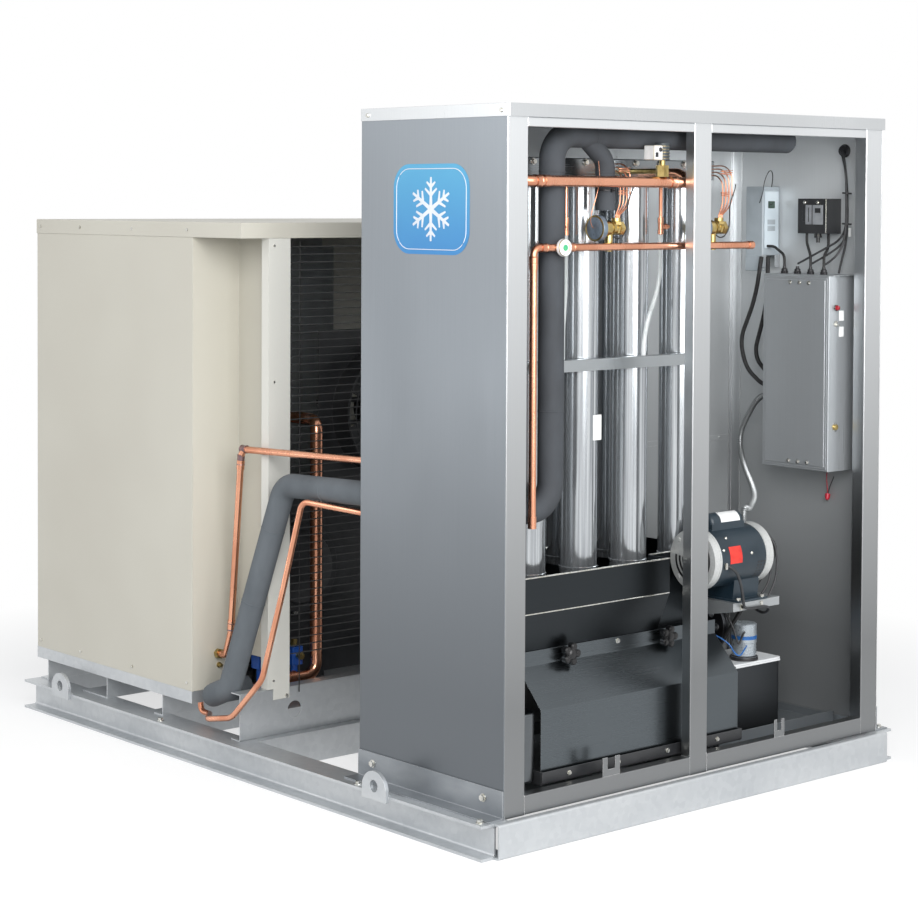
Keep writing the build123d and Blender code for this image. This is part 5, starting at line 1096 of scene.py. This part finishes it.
unit_screws = bmesh.new()
for screw_y in (290, 620, 950, 1215):
    turned(unit_screws, (-847, screw_y, 1724), (-1, 0, 0), ((0, 6), (1, 6)), 16)
    turned(unit_screws, (-848, screw_y, 1724), (-1, 0, 0), ((0, 4.6), (2.6, 4.6), (3.4, 3.8)), 6)
    turned(unit_screws, (-845, screw_y, 240), (-1, 0, 0), ((0, 6), (1, 6)), 16)
    turned(unit_screws, (-846, screw_y, 240), (-1, 0, 0), ((0, 4.6), (2.6, 4.6), (3.4, 3.8)), 6)
    turned(unit_screws, (847, screw_y, 1724), (1, 0, 0), ((0, 6), (1, 6)), 16)
    turned(unit_screws, (848, screw_y, 1724), (1, 0, 0), ((0, 4.6), (2.6, 4.6), (3.4, 3.8)), 6)
for post_x in (-716, 716):
    for screw_z in (278, 760, 1240, 1676):
        turned(unit_screws, (post_x, -9.4, screw_z), (0, -1, 0), ((0, 4.6), (2.6, 4.6), (3.4, 3.8)), 6)
make_piece("unit_screws", unit_screws, zinc)

baffle = bmesh.new()
slab(baffle, (-314, 1236, 1630), (434, 1240, 1699.6), 0.8)
make_piece("coil_top_baffle", baffle, galvanised)


# Compressor, receiver and coil inside the unit. Cast parts in black enamel with bright
# bolts, a finned coil behind the fan, blue-enamelled service valves.
valve_enamel = enamel("valve_enamel", shade(30, 82, 168), shade(110, 150, 206), 0.32)
dress(valve_enamel, "service_valves")
fin_metal = Finish("coil_fins", shade(168, 172, 174), 0.9, 0.4)
fin_rows_and_gap_shade = fin_metal.add("TexWave", {"bands_direction": "X"}, {"Vector": fin_metal.place(), "Scale": 60.0})
# Painted shade: dark bands between the fin rows stand for the shade in the gaps.
fin_metal.paint(fin_metal.blend(fin_rows_and_gap_shade, shade(176, 180, 182), shade(86, 90, 92)))
fin_metal.emboss(fin_rows_and_gap_shade, 1.0)
dress(fin_metal, "condenser_coil")
blade_black = Finish("fan_blades", shade(34, 35, 37), 0.0, 0.5)
blade_black.paint(blade_black.blend(blade_black.cloud(14.0), shade(32, 33, 35), shade(54, 55, 57)))
blade_black.emboss(blade_black.cloud(300.0), 0.06)
dress(blade_black, "condenser_fan")

head_bolts = bmesh.new()
for bolt in range(12):
    angle = radians(bolt * 30)
    spot = (-400 + 158 * cos(angle), 298, 577 + 158 * sin(angle))
    turned(head_bolts, spot, (0, -1, 0), ((0, 9), (7, 9), (8, 8)), 6)
for bolt in range(8):
    angle = radians(bolt * 45 + 20)
    spot = (-400 + 104 * cos(angle), 258, 577 + 104 * sin(angle))
    turned(head_bolts, spot, (0, -1, 0), ((0, 8), (6, 8), (7, 7)), 6)
for bolt_x in (-500, -400, -300):
    for bolt_y in (370, 560):
        turned(head_bolts, (bolt_x, bolt_y, 827), (0, 0, 1), ((0, 9), (7, 9), (8, 8)), 6)
make_piece("compressor_bolts", head_bolts, zinc)
head_cover = bmesh.new()
turned(head_cover, (-400, 258, 577), (0, -1, 0), ((0, 122), (4, 124), (14, 118), (20, 70), (22, 30)), 56)
for rib in range(6):
    turned(head_cover, (-400, 372 + rib * 34, 577), (0, 1, 0), ((0, 150.2), (2, 156), (7, 156), (9, 150.2)), 56)
slab(head_cover, (-495, 594, 690), (-305, 712, 908), 6.0)
make_piece("compressor_castings", head_cover, black_enamel)

valve_caps = bmesh.new()
for cap_x, cap_z in ((-625, 336), (-485, 331)):
    turned(valve_caps, (cap_x, 188, cap_z), (0, 0, 1), ((0, 11), (4, 12), (20, 12), (24, 9)), 6)
    turned(valve_caps, (cap_x, 166, cap_z - 28), (0, -1, 0), ((0, 9), (10, 9), (11, 12), (20, 12)), 20)
make_piece("service_valve_caps", valve_caps, brass)


# Small brass and copper fittings where the pipes enter the unit's corner.
corner_fittings = bmesh.new()
turned(corner_fittings, (-747, 240, 330), (0, 1, 0), ((0, 12), (1, 17), (14, 17), (15, 14), (20, 14)), 6)
turned(corner_fittings, (-740, 262.6, 290), (0, -1, 0), ((0, 9), (6, 9), (7, 6.5), (17, 6.5), (18, 5)), 20)
make_piece("corner_fittings", corner_fittings, brass)


# Floor and light. A white sweep under soft light; the floor keeps the machine's shadow.
floor_shape = bmesh.new()
floor_size = 30000
floor_corners = ((-1, -1), (1, -1), (1, 1), (-1, 1))
floor_shape.faces.new([floor_shape.verts.new((x * floor_size, y * floor_size, -0.5)) for x, y in floor_corners])
bmesh.ops.subdivide_edges(floor_shape, edges=floor_shape.edges, cuts=3, use_grid_fill=True)
floor_mesh = bpy.data.meshes.new("floor")
floor_shape.to_mesh(floor_mesh)
floor_shape.free()
floor_mesh.transform(Matrix.Scale(0.001, 4))
floor = bpy.data.objects.new("floor", floor_mesh)
bpy.context.scene.collection.objects.link(floor)

floor_white = Finish("floor_white", (0.8, 0.8, 0.81, 1), 0.0, 0.9)
seen = floor_white.add("LightPath", {}, {}, "Is Camera Ray")
mirrored = floor_white.add("LightPath", {}, {}, "Is Glossy Ray")
passed = floor_white.add("LightPath", {}, {}, "Is Transmission Ray")
any_view = floor_white.add("Math", {"operation": "ADD", "use_clamp": True}, {0: seen + mirrored, 1: passed})
glow = floor_white.add("Emission", {}, {"Color": (1, 1, 1, 1), "Strength": 0.64})
matt = floor_white.add("BsdfDiffuse", {}, {"Color": (0.4, 0.4, 0.4, 1)})
near_floor = floor_white.add("AddShader", {}, {0: glow, 1: matt})
white = floor_white.add("Emission", {}, {"Color": (1, 1, 1, 1), "Strength": 1.0})
reach = floor_white.add("VectorMath", {"operation": "LENGTH"}, {0: floor_white.place()}, "Value")
sweep = floor_white.add("Math", {"operation": "MULTIPLY_ADD", "use_clamp": True}, {0: reach, 1: 0.9, 2: -1.7})
shown = floor_white.add("MixShader", {}, {0: sweep, 1: near_floor, 2: white})
full_matt = floor_white.add("BsdfDiffuse", {}, {"Color": (0.6, 0.6, 0.6, 1)})
floor_mix = floor_white.add("MixShader", {}, {0: any_view, 1: full_matt, 2: shown})
floor_output = floor_white.tree.nodes["Material Output"]
floor_white.tree.links.new(floor_mix.socket, floor_output.inputs["Surface"])
floor_mesh.materials.append(floor_white.material)

world = bpy.data.worlds.new("studio")
bpy.context.scene.world = world
world.use_nodes = True
tree = world.node_tree
backdrop = tree.nodes["Background"]
backdrop.inputs["Color"].default_value = (1, 1, 1, 1)
backdrop.inputs["Strength"].default_value = 1.0
room = tree.nodes.new("ShaderNodeBackground")
room.inputs["Color"].default_value = (0.93, 0.96, 1.0, 1)
room.inputs["Strength"].default_value = 0.42
ray = tree.nodes.new("ShaderNodeLightPath")
either = tree.nodes.new("ShaderNodeMath")
either.operation = "ADD"
tree.links.new(ray.outputs["Is Camera Ray"], either.inputs[0])
tree.links.new(ray.outputs["Is Glossy Ray"], either.inputs[1])
any_ray = tree.nodes.new("ShaderNodeMath")
any_ray.operation = "ADD"
any_ray.use_clamp = True
tree.links.new(either.outputs[0], any_ray.inputs[0])
tree.links.new(ray.outputs["Is Transmission Ray"], any_ray.inputs[1])
choice = tree.nodes.new("ShaderNodeMixShader")
tree.links.new(any_ray.outputs[0], choice.inputs[0])
tree.links.new(room.outputs[0], choice.inputs[1])
tree.links.new(backdrop.outputs[0], choice.inputs[2])
tree.links.new(choice.outputs[0], tree.nodes["World Output"].inputs["Surface"])


def soft_box(name, place, target, size, power):
    """Hangs a soft light that faces a point of the machine."""
    lamp = bpy.data.lights.new(name, "AREA")
    lamp.shape = "RECTANGLE"
    lamp.size, lamp.size_y = size
    lamp.energy = power
    holder = bpy.data.objects.new(name, lamp)
    bpy.context.scene.collection.objects.link(holder)
    facing = (Vector(target) - Vector(place)).to_track_quat("-Z", "Y")
    holder.matrix_world = Matrix.LocRotScale(Vector(place), facing, None)


soft_box("key_light", (-3.5, -5.0, 3.2), (0, -0.6, 1.0), (3.2, 3.0), 270)
soft_box("front_light", (-0.7, -5.7, 2.4), (0.2, -0.9, 1.1), (2.4, 3.0), 150)
soft_box("side_light", (-5.2, 1.6, 3.4), (-0.6, 0.4, 0.9), (3.0, 3.0), 70)
soft_box("low_light", (-4.96, 3.98, 0.6), (-0.8, -0.9, 1.2), (2.0, 0.5), 11)
bpy.context.scene.view_settings.view_transform = "Standard"
